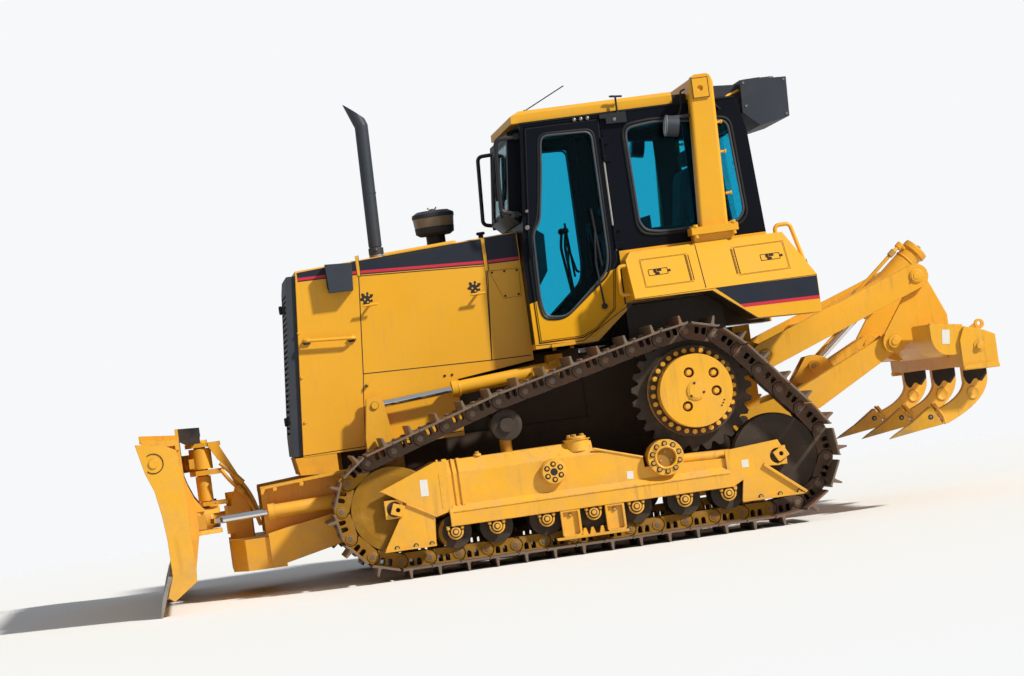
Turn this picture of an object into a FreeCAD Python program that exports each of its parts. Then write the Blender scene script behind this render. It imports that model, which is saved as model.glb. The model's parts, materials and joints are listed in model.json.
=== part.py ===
"""A medium track-type bulldozer with raised drive sprockets, an angling and tilting blade on a
C-shaped frame, a closed cab with a rollover post frame, and a three-shank ripper, parked level.

X runs forward, Y to the machine's left and Z up from the ground, in millimetres. Inside the script
X is counted from the sprocket axle; the finished pieces are moved so that X = 0 lies under the
middle of the whole machine.
"""
import FreeCAD, Part
import math
import os
from FreeCAD import Vector

# Tracks
GAUGE = 1890.0
SHOE_WIDTH = 560.0
LINK_PITCH = 190.0
GROUSER = 57.0
GROUSER_THICK = 16.0
SHOE_THICK = 12.0
LINK_ABOVE_PIN = 46.0
LINK_BELOW_PIN = 51.0
RAIL_THICK = 46.0
RAIL_OFFSET = 66.0
TRACK_Y = GAUGE / 2
TRACK_IN = TRACK_Y - SHOE_WIDTH / 2
TRACK_OUT = TRACK_Y + SHOE_WIDTH / 2
PIN_HEIGHT = GROUSER + SHOE_THICK + LINK_ABOVE_PIN
RAIL_TOP = PIN_HEIGHT + LINK_BELOW_PIN

# Wheels that the tracks run on
SPROCKET_Z = 960.0
SPROCKET_R = 397.0
SPROCKET_TEETH = 27
SPROCKET_THICK = 62.0
TOOTH_TIP_R = 404.0
TOOTH_ROOT_R = 364.0
IDLER_FRONT_X = 2074.0
IDLER_REAR_X = -486.0
IDLER_Z = 460.0
IDLER_R = 280.0
IDLER_GUIDE = 6.0
AXLE_R = 50.0
ROLLER_X = (1696.0, 1421.0, 1090.0, 777.0, 491.0, 165.0, -130.0)
ROLLER_R = 93.0
FLANGE_R = 110.0
CARRIER_X = 1262.0
CARRIER_Z = 905.0
CARRIER_R = 103.0
CHORD_DROP = 8.0
HUB_R = 243.0
HUB_FLANGE_R = 300.0
HUB_OUT_Y = 1170.0
DRIVE_CASE_R = 235.0

# Track roller frames
FRAME_IN_Y = 800.0
FRAME_OUT_Y = 1130.0
FRAME_BOTTOM = 296.0
FRAME_TOP = 728.0
FRAME_FRONT_X = 1718.0
FRAME_REAR_X = -155.0
GUARD_Y = 1110.0
GUARD_THICK = 20.0
PIVOT_X = 257.0
PIVOT_Z = 551.0
PIVOT_R = 120.0
EQUALIZER_X = 1004.0
EQUALIZER_Z = 559.0

# Main frame, hood and engine
HULL_HALF = 400.0
HULL_BOTTOM = 420.0
HULL_TOP = 880.0
HULL_FRONT_X = 2380.0
HULL_REAR_X = 150.0
CASE_FRONT_X = 640.0
CASE_STEP = 715.0
CASE_REAR_X = -560.0
CASE_REAR_HALF = 310.0
CASE_BLOCK_HALF = 380.0
HOOD_HALF = 510.0
HOOD_WALL = 22.0
HOOD_BOTTOM = 870.0
HOOD_TOP_FRONT = 2116.0
HOOD_TOP_REAR = 2188.0
HOOD_FRONT_TOP_X = 2484.0
HOOD_FRONT_BOTTOM_X = 2596.0
STACK_X = 1893.0
STACK_R = 46.0
STACK_TOP = 3214.0
CLEANER_X = 1466.0
CLEANER_Y = -50.0
CLEANER_R = 142.0

# Cab
CAB_HALF = 722.0
CAB_WALL = 45.0
CAB_FRONT_X = 966.0
CAB_FRONT_TOP_X = 868.0
CAB_REAR_X = -690.0
CAB_REAR_TOP_X = -600.0
CAB_EAVES = 2895.0
CAB_RISE = 940.0
ROOF_TOP = CAB_EAVES + 81.0
BELT_Z = 1955.0
FLOOR_BOTTOM = 1374.0
FLOOR_THICK = 36.0
SEAT_FLOOR = 1650.0
STEP_TOP = 1600.0
STEP_FRONT_X = 560.0
DOOR_REAR_X = 335.0
DOOR_GAP = 6.0
DOOR_OUT = CAB_HALF + 8.0
HINGE_R = 12.0
SCREEN_HALF = CAB_HALF - 182.0
REAR_PANE_HALF = CAB_HALF - 202.0
ROOF_HALF = CAB_HALF - 22.0
GLASS = 8.0
SEAM = 0.3
HINGES_Z = (2050.0, BELT_Z + 0.73 * (CAB_EAVES - BELT_Z))
DOOR_KNUCKLES = tuple((z - 40.0 + SEAM, z + 40.0) for z in HINGES_Z)
FRAME_KNUCKLES = tuple((z - 80.0, z - 40.0) for z in HINGES_Z)
FRAME_KNUCKLES += tuple((z + 40.0 + SEAM, z + 80.0) for z in HINGES_Z)

# Rollover posts and the box behind the roof
POST_IN = CAB_HALF + 78.0
POST_OUT = POST_IN + 100.0
POST_FOOT_Z = 1985.0
POST_TOP = CAB_EAVES + 157.0
POST_KNEE = CAB_EAVES + 95.0
POST_FRONT_X = -221.0
POST_FRONT_TOP_X = -276.0

# Fenders
FENDER_FRONT_X = 315.0
FENDER_REAR_X = -913.0
FENDER_TOP = 1931.0
FENDER_TOP_OUT = POST_OUT
FENDER_OUT = FENDER_TOP_OUT + 230.0
FENDER_EDGE = 1615.0
FENDER_BOTTOM_REAR = 1365.0
LID_THICK = 6.0
LID_PIN_R = 2.4

# C-frame and blade
LIFT_X = 1250.0
LIFT_Z = 560.0
ARM_IN = 522.0
ARM_OUT = 648.0
EAR_X = 2083.0
EAR_Z = 1150.0
LIFT_CYL_Y = 600.0
LIFT_CYL_X = 845.0
LIFT_CYL_Z = 1236.0
LIFT_EYE = 52.0
BALL_X = 3275.0
BALL_Z = 537.0
BALL_R = 62.0
BLADE_HALF = 1637.0
BLADE_TOP = 1125.0
BLADE_BACK_X = 3395.0
BLADE_TIP_X = 3662.0
END_PLATE_X = 3681.0
CLEVIS_X = BALL_X - 50.0
CLEVIS_Y = 640.0
ANGLE_CYL_X = 2150.0
ANGLE_CYL_Y = 588.0
ANGLE_CYL_Z = 560.0
ANGLE_EYE = 30.0
CLEVIS_GAP = 104.0
TILT_CYL_X = BALL_X + 70.0
TILT_CYL_Y = 560.0
TILT_CYL_Z = 925.0
YOKE_ARM = 60.0
TILT_ROD_R = 24.0
ROD_END_GAP = 0.9

# Ripper
UPPER_FRONT = (-609.0, 1125.0)
UPPER_REAR = (-1716.0, 1523.0)
LOWER_REAR = (-1514.0, 1099.0)
LOWER_FRONT = (LOWER_REAR[0] - UPPER_REAR[0] + UPPER_FRONT[0], LOWER_REAR[1] - UPPER_REAR[1] + UPPER_FRONT[1])
RIP_CYL_PIN = (-1011.0, 1009.0)
RIP_TRUNNION = (-1560.0, 1467.0)
CARRIAGE_IN = 440.0
CARRIAGE_THICK = 40.0
BEAM_HALF = 1105.0
BEAM_REAR_X = -2057.0
SHANK_Y = (-895.0, 0.0, 895.0)
SHANK_THICK = 74.0

# Pins, cylinders and clearances
PIN_R = 38.0
PIN_FIT = 0.05
SIDE_GAP = 5.0
EYE_BITE = 5.0

CENTRE_X = (END_PLATE_X + BEAM_REAR_X) / 2
OUT = "parts"


# Plain shapes
def box(x0, x1, y0, y1, z0, z1):
    return Part.makeBox(x1 - x0, y1 - y0, z1 - z0, Vector(x0, y0, z0))


def plate(points, y0, y1):
    """A side-view outline of (x, z) corners, extruded across the machine from y0 to y1."""
    wire = Part.makePolygon([Vector(x, y0, z) for x, z in points + points[:1]])
    return Part.Face(wire).extrude(Vector(0, y1 - y0, 0))


def section(points, x0, x1):
    """A cross-section of (y, z) corners, extruded along the machine from x0 to x1."""
    wire = Part.makePolygon([Vector(x0, y, z) for y, z in points + points[:1]])
    return Part.Face(wire).extrude(Vector(x1 - x0, 0, 0))


def plan(points, z0, z1):
    """An outline of (x, y) corners seen from above, extruded up from z0 to z1."""
    wire = Part.makePolygon([Vector(x, y, z0) for x, y in points + points[:1]])
    return Part.Face(wire).extrude(Vector(0, 0, z1 - z0))


def rod(start, end, radius):
    """A round bar from one point to another."""
    a = Vector(*start)
    b = Vector(*end)
    return Part.makeCylinder(radius, (b - a).Length, a, b - a)


def cross_pin(centre, y0, y1, radius):
    """A round bar across the machine at the side-view point centre."""
    return rod((centre[0], y0, centre[1]), (centre[0], y1, centre[1]), radius)


def upright(x, y, z0, z1, radius):
    return rod((x, y, z0), (x, y, z1), radius)


def fuse(pieces):
    joined = pieces[0].fuse(pieces[1:]) if len(pieces) > 1 else pieces[0]
    return joined.removeSplitter()


def cut(body, tools):
    return body.cut(tools) if tools else body


def mirrored(shape):
    return shape.mirror(Vector(0, 0, 0), Vector(0, 1, 0))


def both(shape):
    return [shape, mirrored(shape)]


def toward(start, end, distance):
    """The side-view point that lies a distance from start on the way to end."""
    length = math.hypot(end[0] - start[0], end[1] - start[1])
    return (start[0] + (end[0] - start[0]) * distance / length, start[1] + (end[1] - start[1]) * distance / length)


def bent_tube(points, radius, bend):
    """A round tube through corner points, each corner rounded to the bend radius."""
    corners = [Vector(*p) for p in points]
    edges = []
    start = corners[0]
    for before, corner, after in zip(corners, corners[1:], corners[2:]):
        u = (before - corner).normalize()
        v = (after - corner).normalize()
        half = math.acos(max(-1.0, min(1.0, u.dot(v)))) / 2
        reach = bend / math.tan(half)
        first = corner + u * reach
        last = corner + v * reach
        centre = corner + (u + v).normalize() * (bend / math.sin(half))
        middle = centre + (corner - centre).normalize() * bend
        edges.append(Part.LineSegment(start, first).toShape())
        edges.append(Part.Arc(first, middle, last).toShape())
        start = last
    edges.append(Part.LineSegment(start, corners[-1]).toShape())
    wire = Part.Wire(edges)
    circle = Part.Circle(corners[0], corners[1] - corners[0], radius)
    return wire.makePipeShell([Part.Wire([circle.toShape()])], True, False)


def save(name, pieces):
    """Write one named piece, moved so that X = 0 is under the machine's middle."""
    shape = pieces if not isinstance(pieces, list) else Part.makeCompound(pieces)
    shape.translate(Vector(-CENTRE_X, 0, 0))
    shape.exportStep(os.path.join(OUT, name + ".step"))


def save_pair(name, pieces):
    """Write the left piece and its mirror image on the right."""
    solids = pieces if isinstance(pieces, list) else [pieces]
    save(name + "_right", [mirrored(solid) for solid in solids])
    save(name + "_left", solids)


# Tracks
def belt(circles):
    """Tangent points of a tight belt round the circles (x, z, radius), as arcs and straights."""
    count = len(circles)
    normals = []
    for i in range(count):
        x0, z0, r0 = circles[i]
        x1, z1, r1 = circles[(i + 1) % count]
        length = math.hypot(x1 - x0, z1 - z0)
        normals.append(math.atan2(z1 - z0, x1 - x0) - math.acos((r0 - r1) / length))
    pieces = []
    for i in range(count):
        x, z, r = circles[i]
        a0 = normals[i - 1]
        a1 = normals[i]
        while a1 < a0:
            a1 += 2 * math.pi
        pieces.append(("arc", x, z, r, a0, a1))
        nx, nz, nr = circles[(i + 1) % count]
        start = (x + r * math.cos(a1), z + r * math.sin(a1))
        end = (nx + nr * math.cos(a1), nz + nr * math.sin(a1))
        pieces.append(("line", start, end))
    return pieces


def belt_length(piece):
    if piece[0] == "arc":
        return piece[3] * (piece[5] - piece[4])
    return math.hypot(piece[2][0] - piece[1][0], piece[2][1] - piece[1][1])


def belt_point(pieces, distance):
    for piece in pieces:
        length = belt_length(piece)
        if distance <= length:
            if piece[0] == "arc":
                angle = piece[4] + distance / piece[3]
                return (piece[1] + piece[3] * math.cos(angle), piece[2] + piece[3] * math.sin(angle))
            share = distance / length
            return tuple(a + (b - a) * share for a, b in zip(piece[1], piece[2]))
        distance -= length
    return belt_point(pieces, distance)


def track_pins():
    """The pin centres of one track, in order from the front idler over the top to the rear."""
    idler_line = IDLER_Z - PIN_HEIGHT
    carrier_line = CARRIER_R + LINK_BELOW_PIN + CHORD_DROP
    pieces = belt([
        (IDLER_FRONT_X, IDLER_Z, idler_line), (CARRIER_X, CARRIER_Z, carrier_line),
        (0.0, SPROCKET_Z, SPROCKET_R), (IDLER_REAR_X, IDLER_Z, idler_line)])
    total = sum(belt_length(piece) for piece in pieces)
    count = round(total / LINK_PITCH)
    return [belt_point(pieces, total * i / count) for i in range(count)]


def track():
    """One track as a closed loop: grouser shoes on two rails of links."""
    pins = track_pins()
    count = len(pins)
    outline = []
    inline = []
    rail_in = []
    rail_out = []
    for i in range(count):
        x0, z0 = pins[i - 1]
        x1, z1 = pins[i]
        x2, z2 = pins[(i + 1) % count]
        length = math.hypot(x2 - x1, z2 - z1)
        t = ((x2 - x1) / length, (z2 - z1) / length)
        n = (t[1], -t[0])
        face = LINK_ABOVE_PIN + SHOE_THICK
        # Columns: distance along the link, height above the pin line
        for along, height in (
                (0.02 * length, face), (0.72 * length, face),
                (0.72 * length + 4, face + GROUSER), (0.72 * length + 4 + GROUSER_THICK, face + GROUSER),
                (0.72 * length + 8 + GROUSER_THICK, face), (0.98 * length, face)):
            outline.append((x1 + t[0] * along + n[0] * height, z1 + t[1] * along + n[1] * height))
        for along in (0.02 * length, 0.98 * length):
            inline.append((x1 + t[0] * along + n[0] * LINK_ABOVE_PIN, z1 + t[1] * along + n[1] * LINK_ABOVE_PIN))
        before = math.atan2(z1 - z0, x1 - x0)
        turn = math.atan2(math.sin(math.atan2(t[1], t[0]) - before), math.cos(math.atan2(t[1], t[0]) - before))
        middle = before + turn / 2
        m = (math.sin(middle), -math.cos(middle))
        rail_in.append((x1 - m[0] * LINK_BELOW_PIN, z1 - m[1] * LINK_BELOW_PIN))
        rail_out.append((x1 + m[0] * (LINK_ABOVE_PIN + 3), z1 + m[1] * (LINK_ABOVE_PIN + 3)))
    shoes = plate(outline, TRACK_IN, TRACK_OUT).cut(plate(inline, TRACK_IN - 1, TRACK_OUT + 1))
    rails = []
    for side in (-1, 1):
        middle = TRACK_Y + side * RAIL_OFFSET
        low = middle - RAIL_THICK / 2
        high = middle + RAIL_THICK / 2
        rails.append(plate(rail_out, low, high).cut(plate(rail_in, low - 1, high + 1)))
    return fuse([shoes] + rails)


def wheel(x, z, profile):
    """A turned wheel on a cross axis; profile is a list of (offset from the track's middle, radius)."""
    points = [Vector(x, TRACK_Y + y, z + r) for y, r in profile]
    points = [Vector(x, TRACK_Y + profile[0][0], z)] + points + [Vector(x, TRACK_Y + profile[-1][0], z)]
    face = Part.Face(Part.makePolygon(points + points[:1]))
    return face.revolve(Vector(x, 0, z), Vector(0, 1, 0), 360)


def rollers():
    """Track rollers, carrier roller and both idlers of the left side."""
    rim = RAIL_OFFSET + RAIL_THICK / 2 + 6
    shaft = FRAME_OUT_Y - TRACK_Y - 30
    seat = FRAME_BOTTOM - SEAM - RAIL_TOP - ROLLER_R
    roller_profile = [
        (-shaft, seat), (-rim - 22, seat), (-rim - 22, 62), (-rim - 18, FLANGE_R), (-rim, FLANGE_R), (-rim, ROLLER_R),
        (-RAIL_OFFSET + RAIL_THICK / 2, ROLLER_R), (-28, 66), (28, 66), (RAIL_OFFSET - RAIL_THICK / 2, ROLLER_R),
        (rim, ROLLER_R), (rim, FLANGE_R), (rim + 18, FLANGE_R), (rim + 22, 62), (rim + 22, seat), (shaft, seat)]
    wheels = [wheel(x, RAIL_TOP + ROLLER_R, roller_profile) for x in ROLLER_X]
    carrier_profile = [(-150, 34), (-rim, 34), (-rim, CARRIER_R - 22), (-rim + 6, CARRIER_R - SEAM)]
    carrier_profile += [(rim - 6, CARRIER_R - SEAM), (rim, CARRIER_R - 22), (rim, 46), (rim + 26, 46)]
    wheels.append(wheel(CARRIER_X, CARRIER_Z, carrier_profile))
    guide = RAIL_OFFSET - RAIL_THICK / 2 - 6
    idler_profile = [
        (-150, AXLE_R), (-rim, AXLE_R), (-rim, IDLER_R - 60), (-rim + 6, IDLER_R - SEAM), (-guide - 3, IDLER_R - SEAM),
        (-guide, IDLER_R + IDLER_GUIDE), (guide, IDLER_R + IDLER_GUIDE), (guide + 3, IDLER_R - SEAM),
        (rim - 6, IDLER_R - SEAM), (rim, IDLER_R - 60), (rim, AXLE_R), (150, AXLE_R)]
    for x in (IDLER_FRONT_X, IDLER_REAR_X):
        wheels.append(wheel(x, IDLER_Z, idler_profile))
    return wheels


def sprocket():
    """The toothed drive ring: trapezoid teeth between two radii."""
    points = []
    step = 2 * math.pi / SPROCKET_TEETH
    for i in range(SPROCKET_TEETH):
        # Columns: share of the tooth's step, radius
        for share, radius in ((0.0, TOOTH_ROOT_R), (0.2, TOOTH_ROOT_R), (0.45, TOOTH_TIP_R), (0.75, TOOTH_TIP_R)):
            angle = (i + share) * step
            points.append((radius * math.cos(angle), SPROCKET_Z + radius * math.sin(angle)))
    low = TRACK_Y - SPROCKET_THICK / 2
    high = TRACK_Y + SPROCKET_THICK / 2
    disc = plate(points, low, high)
    return disc.cut(cross_pin((0, SPROCKET_Z), low - 1, high + 1, DRIVE_CASE_R))


def hub_cover():
    """The yellow final drive cover outboard of the sprocket, with its ring of bolts and four plugs."""
    centre = (0, SPROCKET_Z)
    face = TRACK_Y + SPROCKET_THICK / 2
    flange = cross_pin(centre, face, face + 60, HUB_FLANGE_R)
    drum = cross_pin(centre, face + 60, HUB_OUT_Y, HUB_R)
    cap = cross_pin(centre, HUB_OUT_Y, HUB_OUT_Y + 8, 62)
    body = fuse([flange, drum, cap])
    tools = []
    # Columns: angle in degrees, distance from the axle
    for angle, away in ((75, 128), (142, 165), (188, 135), (306, 120)):
        x = away * math.cos(math.radians(angle))
        z = SPROCKET_Z + away * math.sin(math.radians(angle))
        tools.append(cross_pin((x, z), HUB_OUT_Y - 26, HUB_OUT_Y + 10, 34))
    bolts = []
    for i in range(30):
        angle = 2 * math.pi * i / 30
        x = 272 * math.cos(angle)
        z = SPROCKET_Z + 272 * math.sin(angle)
        bolts.append(plate([(x + 13 * math.cos(angle + k), z + 13 * math.sin(angle + k))
                            for k in (0, math.pi / 2, math.pi, 3 * math.pi / 2)], face + 60, face + 80))
    return fuse([cut(body, tools)] + bolts)


def track_frame():
    """The roller frame between the track's runs, with guards, pivot boss and idler yokes."""
    side = [
        (FRAME_IN_Y, FRAME_BOTTOM), (FRAME_OUT_Y, FRAME_BOTTOM), (FRAME_OUT_Y, FRAME_BOTTOM + 96),
        (GUARD_Y - 20, FRAME_BOTTOM + 136), (GUARD_Y - 20, FRAME_TOP - 90), (GUARD_Y - 90, FRAME_TOP),
        (FRAME_IN_Y + 60, FRAME_TOP), (FRAME_IN_Y, FRAME_TOP - 60)]
    beam = section(side, FRAME_REAR_X, FRAME_FRONT_X)
    drop = plate([
        (722, FRAME_TOP + 5), (722, 676), (402, 574), (398, 506), (FRAME_REAR_X - 1, 490),
        (FRAME_REAR_X - 1, FRAME_TOP + 5)], FRAME_IN_Y - 5, FRAME_OUT_Y + 5)
    beam = beam.cut(drop)
    gap = FRAME_IN_Y + 26
    hollow = box(FRAME_REAR_X - 1, FRAME_FRONT_X + 1, gap, GUARD_Y - 10, FRAME_BOTTOM - 1, RAIL_TOP + 2 * ROLLER_R + 26)
    beam = beam.cut(hollow)
    boss = fuse([cross_pin((PIVOT_X, PIVOT_Z), TRACK_Y + 45, 1148, PIVOT_R),
                 cross_pin((PIVOT_X, PIVOT_Z), FRAME_IN_Y - 30, TRACK_Y + 50, 74)])
    boss = boss.cut(cross_pin((PIVOT_X, PIVOT_Z), 1120, 1149, 62))
    rear_tube = rod((PIVOT_X, 1032, 527), (IDLER_REAR_X + 300, 1032, 510), 34)
    hub = cross_pin((EQUALIZER_X, EQUALIZER_Z), GUARD_Y - 40, FRAME_OUT_Y, 86)
    fill = upright(815, 1000, FRAME_TOP - 60, FRAME_TOP + 14, 82)
    mount = fuse([
        upright(CARRIER_X, TRACK_Y - 142, FRAME_TOP - 20, CARRIER_Z - 50, 40),
        cross_pin((CARRIER_X, CARRIER_Z), TRACK_Y - 165, TRACK_Y - 112, 62)])
    mount = mount.cut(cross_pin((CARRIER_X, CARRIER_Z), TRACK_Y - 151, TRACK_Y - 100, 34.05))
    parts = [beam, boss, rear_tube, hub, fill, mount]
    # Side-view outlines of the guards, all of the same plate
    front_upper = [(2160, 585), (1774, 731), (1700, 724), (1700, 400), (1811, 371), (2142, 582)]
    front_lower = [(1990, 490), (1815, 385), (1833, 190), (2174, 190)]
    rear_upper = [(-140, 540), (-500, 566), (-555, 450), (-495, 395), (-380, 404), (-164, 294), (-140, 300)]
    rear_lower = [(-385, 412), (-641, 190), (-214, 190), (-240, 345)]
    for outline in (front_upper, front_lower, rear_upper, rear_lower):
        parts.append(plate(outline, GUARD_Y - GUARD_THICK, GUARD_Y))
        parts.append(plate(outline, FRAME_IN_Y - GUARD_THICK, FRAME_IN_Y))
    for x, reach in ((IDLER_FRONT_X, -1), (IDLER_REAR_X, 1)):
        block = fuse([
            box(x - 62, x + 62, TRACK_Y + 108, GUARD_Y - GUARD_THICK / 2, IDLER_Z - 62, IDLER_Z + 62),
            box(x - 62, x + 62, FRAME_IN_Y - GUARD_THICK / 2, TRACK_Y - 108, IDLER_Z - 62, IDLER_Z + 62)])
        parts.append(block)
        # Arms from the blocks back to the beam
        inner = FRAME_FRONT_X - 60 if reach < 0 else FRAME_REAR_X + 60
        low, high = sorted((x + reach * 61, inner))
        parts.append(box(low, high, TRACK_Y + 112, GUARD_Y - GUARD_THICK, IDLER_Z - 50, IDLER_Z + 30))
        parts.append(box(low, high, FRAME_IN_Y, TRACK_Y - 112, IDLER_Z - 50, IDLER_Z + 30))
    holes = [cross_pin((x, IDLER_Z), FRAME_IN_Y - 40, FRAME_OUT_Y, AXLE_R + SEAM) for x in (IDLER_FRONT_X, IDLER_REAR_X)]
    return cut(fuse(parts), holes)


# Main frame, engine, hood
def main_frame():
    """The welded frame between the tracks, with C-frame pivots, equalizer bar and pivot shaft."""
    hull = section([
        (-HULL_HALF, HULL_TOP), (-HULL_HALF, HULL_BOTTOM + 60), (-HULL_HALF + 80, HULL_BOTTOM),
        (HULL_HALF - 80, HULL_BOTTOM), (HULL_HALF, HULL_BOTTOM + 60), (HULL_HALF, HULL_TOP)], HULL_REAR_X, HULL_FRONT_X)
    hull = hull.cut(box(HULL_REAR_X - 1, CASE_FRONT_X + SEAM, -HULL_HALF - 1, HULL_HALF + 1, CASE_STEP, HULL_TOP + 1))
    trough = box(700, HULL_FRONT_X - 40, -HULL_HALF + 40, HULL_HALF - 40, HULL_BOTTOM + 60, HULL_TOP + 1)
    hull = hull.cut(trough)
    bumper = plate([
        (HULL_FRONT_X - 10, 600), (2500, 744), (2630, 752), (2650, HOOD_BOTTOM - SEAM),
        (HULL_FRONT_X - 10, HOOD_BOTTOM - SEAM)], -HOOD_HALF + 2, HOOD_HALF - 2)
    equalizer = box(EQUALIZER_X - 55, EQUALIZER_X + 55, -FRAME_IN_Y + SEAM, FRAME_IN_Y - SEAM, 500, 620)
    shaft = cross_pin((PIVOT_X, PIVOT_Z), -FRAME_IN_Y + 30 + SEAM, FRAME_IN_Y - 30 - SEAM, 74)
    parts = [hull, bumper, equalizer, shaft]
    for side in (-1, 1):
        inner, outer = sorted((side * (HULL_HALF - 20), side * (ARM_IN - SIDE_GAP)))
        parts.append(cross_pin((LIFT_X, LIFT_Z), inner, outer, 95))
        inner, outer = sorted((side * (HULL_HALF - 20), side * (ARM_OUT + 12)))
        parts.append(cross_pin((LIFT_X, LIFT_Z), inner, outer, PIN_R + 12))
    return fuse(parts)


def lift_bracket():
    """Left arm from the case block out to the rear pin of the lift cylinder."""
    centre = (LIFT_CYL_X, LIFT_CYL_Z)
    root = [(centre[0] - 70, 1330), (centre[0] - 70, centre[1] - 20), (centre[0] - 30, centre[1] - 55)]
    root += [(centre[0] + 30, centre[1] - 55), (centre[0] + 38, centre[1]), (centre[0] + 38, 1330)]
    arm = plate(root, CASE_BLOCK_HALF - 10, LIFT_CYL_Y - 54)
    boss = cross_pin(centre, LIFT_CYL_Y - 60, LIFT_CYL_Y - 32, 40)
    pin = cross_pin(centre, LIFT_CYL_Y - 40, LIFT_CYL_Y + 50, 28)
    return fuse([arm, boss, pin])


def rear_case():
    """Transmission and bevel gear case with the round final drive housings and ripper ears."""
    top = FLOOR_BOTTOM - 20
    front = plate([
        (-300, 440), (HULL_REAR_X - SEAM, 440), (HULL_REAR_X - SEAM, CASE_STEP + SEAM), (CASE_FRONT_X, CASE_STEP + SEAM),
        (CASE_FRONT_X, 1300), (300, top), (-300, top)], -HULL_HALF, HULL_HALF)
    rear = plate([(CASE_REAR_X, 500), (-290, 440), (-290, top), (CASE_REAR_X, top)], -CASE_REAR_HALF, CASE_REAR_HALF)
    block = plate([
        (CASE_FRONT_X - 1, HULL_TOP + SEAM), (1295, HULL_TOP + SEAM), (1295, 1240), (950, 1300), (950, top),
        (CASE_FRONT_X - 1, top)], -CASE_BLOCK_HALF, CASE_BLOCK_HALF)
    parts = [front, rear, block] + both(lift_bracket())
    for side in (-1, 1):
        face = TRACK_Y - SPROCKET_THICK / 2
        inner, outer = sorted((side * (HULL_HALF - 30), side * (face - SEAM)))
        parts.append(cross_pin((0, SPROCKET_Z), inner, outer, DRIVE_CASE_R))
        inner, outer = sorted((side * (face - SEAM - 1), side * (TRACK_Y + SPROCKET_THICK / 2 - SEAM)))
        parts.append(cross_pin((0, SPROCKET_Z), inner, outer, DRIVE_CASE_R - SEAM))
        x, z = UPPER_FRONT
        inner, outer = sorted((side * (CASE_REAR_HALF - 10), side * (CARRIAGE_IN + CARRIAGE_THICK)))
        parts.append(plate([
            (-500, z + 120), (-500, z - 120), (x - 20, z - 62), (x - 62, z - 30), (x - 62, z + 40), (x - 20, z + 62)],
            inner, outer))
        inner, outer = sorted((side * (CARRIAGE_IN + CARRIAGE_THICK - 5), side * (CARRIAGE_IN + CARRIAGE_THICK + 60)))
        parts.append(cross_pin(UPPER_FRONT, inner, outer, PIN_R))
        inner, outer = sorted((side * (CASE_REAR_HALF - 10), side * 446))
        parts.append(cross_pin(LOWER_FRONT, inner, outer, PIN_R))
    return fuse(parts)


def hood_side():
    """Side-view outline of the hood, from the nose to the cab."""
    rear = CAB_FRONT_X + SEAM
    return [
        (rear, HOOD_BOTTOM + 440), (1500, HOOD_BOTTOM + 380), (1500, HOOD_BOTTOM), (HOOD_FRONT_BOTTOM_X, HOOD_BOTTOM),
        (HOOD_FRONT_TOP_X, HOOD_TOP_FRONT), (rear, HOOD_TOP_REAR)]


PANEL = [(2063, 2028), (2122, 1372), (1249, 1347), (1204, 1984)]


def grown_plate(points, amount, y0, y1):
    """A side-view outline pushed out evenly by amount, or in if it is negative, and extruded."""
    wire = Part.makePolygon([Vector(x, y0, z) for x, z in points + points[:1]])
    edge = wire.makeOffset2D(amount, 2)
    return Part.Face(edge).extrude(Vector(0, y1 - y0, 0))


def hood():
    """Hood, nose sides and cowl as one shell, open at the front and below."""
    outer = plate(hood_side(), -HOOD_HALF, HOOD_HALF)
    ridge = [e for e in outer.Edges
             if abs(abs(e.CenterOfMass.y) - HOOD_HALF) < 1 and e.CenterOfMass.z > 2100
             and abs(e.tangentAt(e.FirstParameter).y) < 0.5]
    outer = outer.makeFillet(30, ridge)
    rear = CAB_FRONT_X + SEAM
    inner = plate([
        (rear + HOOD_WALL, 700), (HOOD_FRONT_BOTTOM_X + 150, 700),
        (HOOD_FRONT_BOTTOM_X + 150, HOOD_TOP_FRONT - HOOD_WALL - 14), (rear + HOOD_WALL, HOOD_TOP_REAR - HOOD_WALL - 3)],
        -HOOD_HALF + HOOD_WALL, HOOD_HALF - HOOD_WALL)
    shell = outer.cut(inner)
    opening = grown_plate(PANEL, SEAM, -HOOD_HALF - 5, HOOD_HALF + 5)
    return shell.cut(opening)


def grille():
    """Leaning front grille: a frame with level ribs and two latch knobs."""
    half = HOOD_HALF - HOOD_WALL - SEAM
    frame = plate([
        (HOOD_FRONT_BOTTOM_X - 60, HOOD_BOTTOM + 8), (2659, HOOD_BOTTOM + 8), (2657, 1010), (2562, 2006),
        (2548, 2086), (HOOD_FRONT_TOP_X - 40, 2086)], -half, half)
    recess = []
    count = 26
    for i in range(count):
        low = 1030 + i * 37.0
        shift = (low - 1010) * (2562 - 2657) / (2006 - 1010)
        x = 2657 + shift
        recess.append(box(x - 18, x + 30, -half + 45, half - 45, low, low + 17))
    frame = frame.cut(recess)
    knobs = [rod((2560, 200, 1876), (2612, 200, 1881), 26), rod((2620, 200, 1118), (2672, 200, 1122), 26)]
    return fuse([frame] + knobs)


def engine():
    return box(1300, 2250, -330, 330, HULL_BOTTOM + 60 + SEAM, 1800)


def stack():
    """Exhaust pipe with a mitred, forward-leaning outlet on a clamp."""
    pipe = rod((STACK_X, 0, 2235), (STACK_X - 17, 0, 3070), STACK_R)
    tip = rod((STACK_X - 17, 0, 3070), (STACK_X + 50, 0, 3250), STACK_R)
    top = plate([(1700, 3110), (1815, 3095), (1962, STACK_TOP), (2100, 3330), (1700, 3330)], -90, 90)
    foot = upright(STACK_X, 0, 2100, 2240, STACK_R - 4)
    knee = Part.makeSphere(STACK_R, Vector(STACK_X - 17, 0, 3070))
    return fuse([pipe, knee, tip.cut(top), foot]).cut(hood_block())


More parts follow.
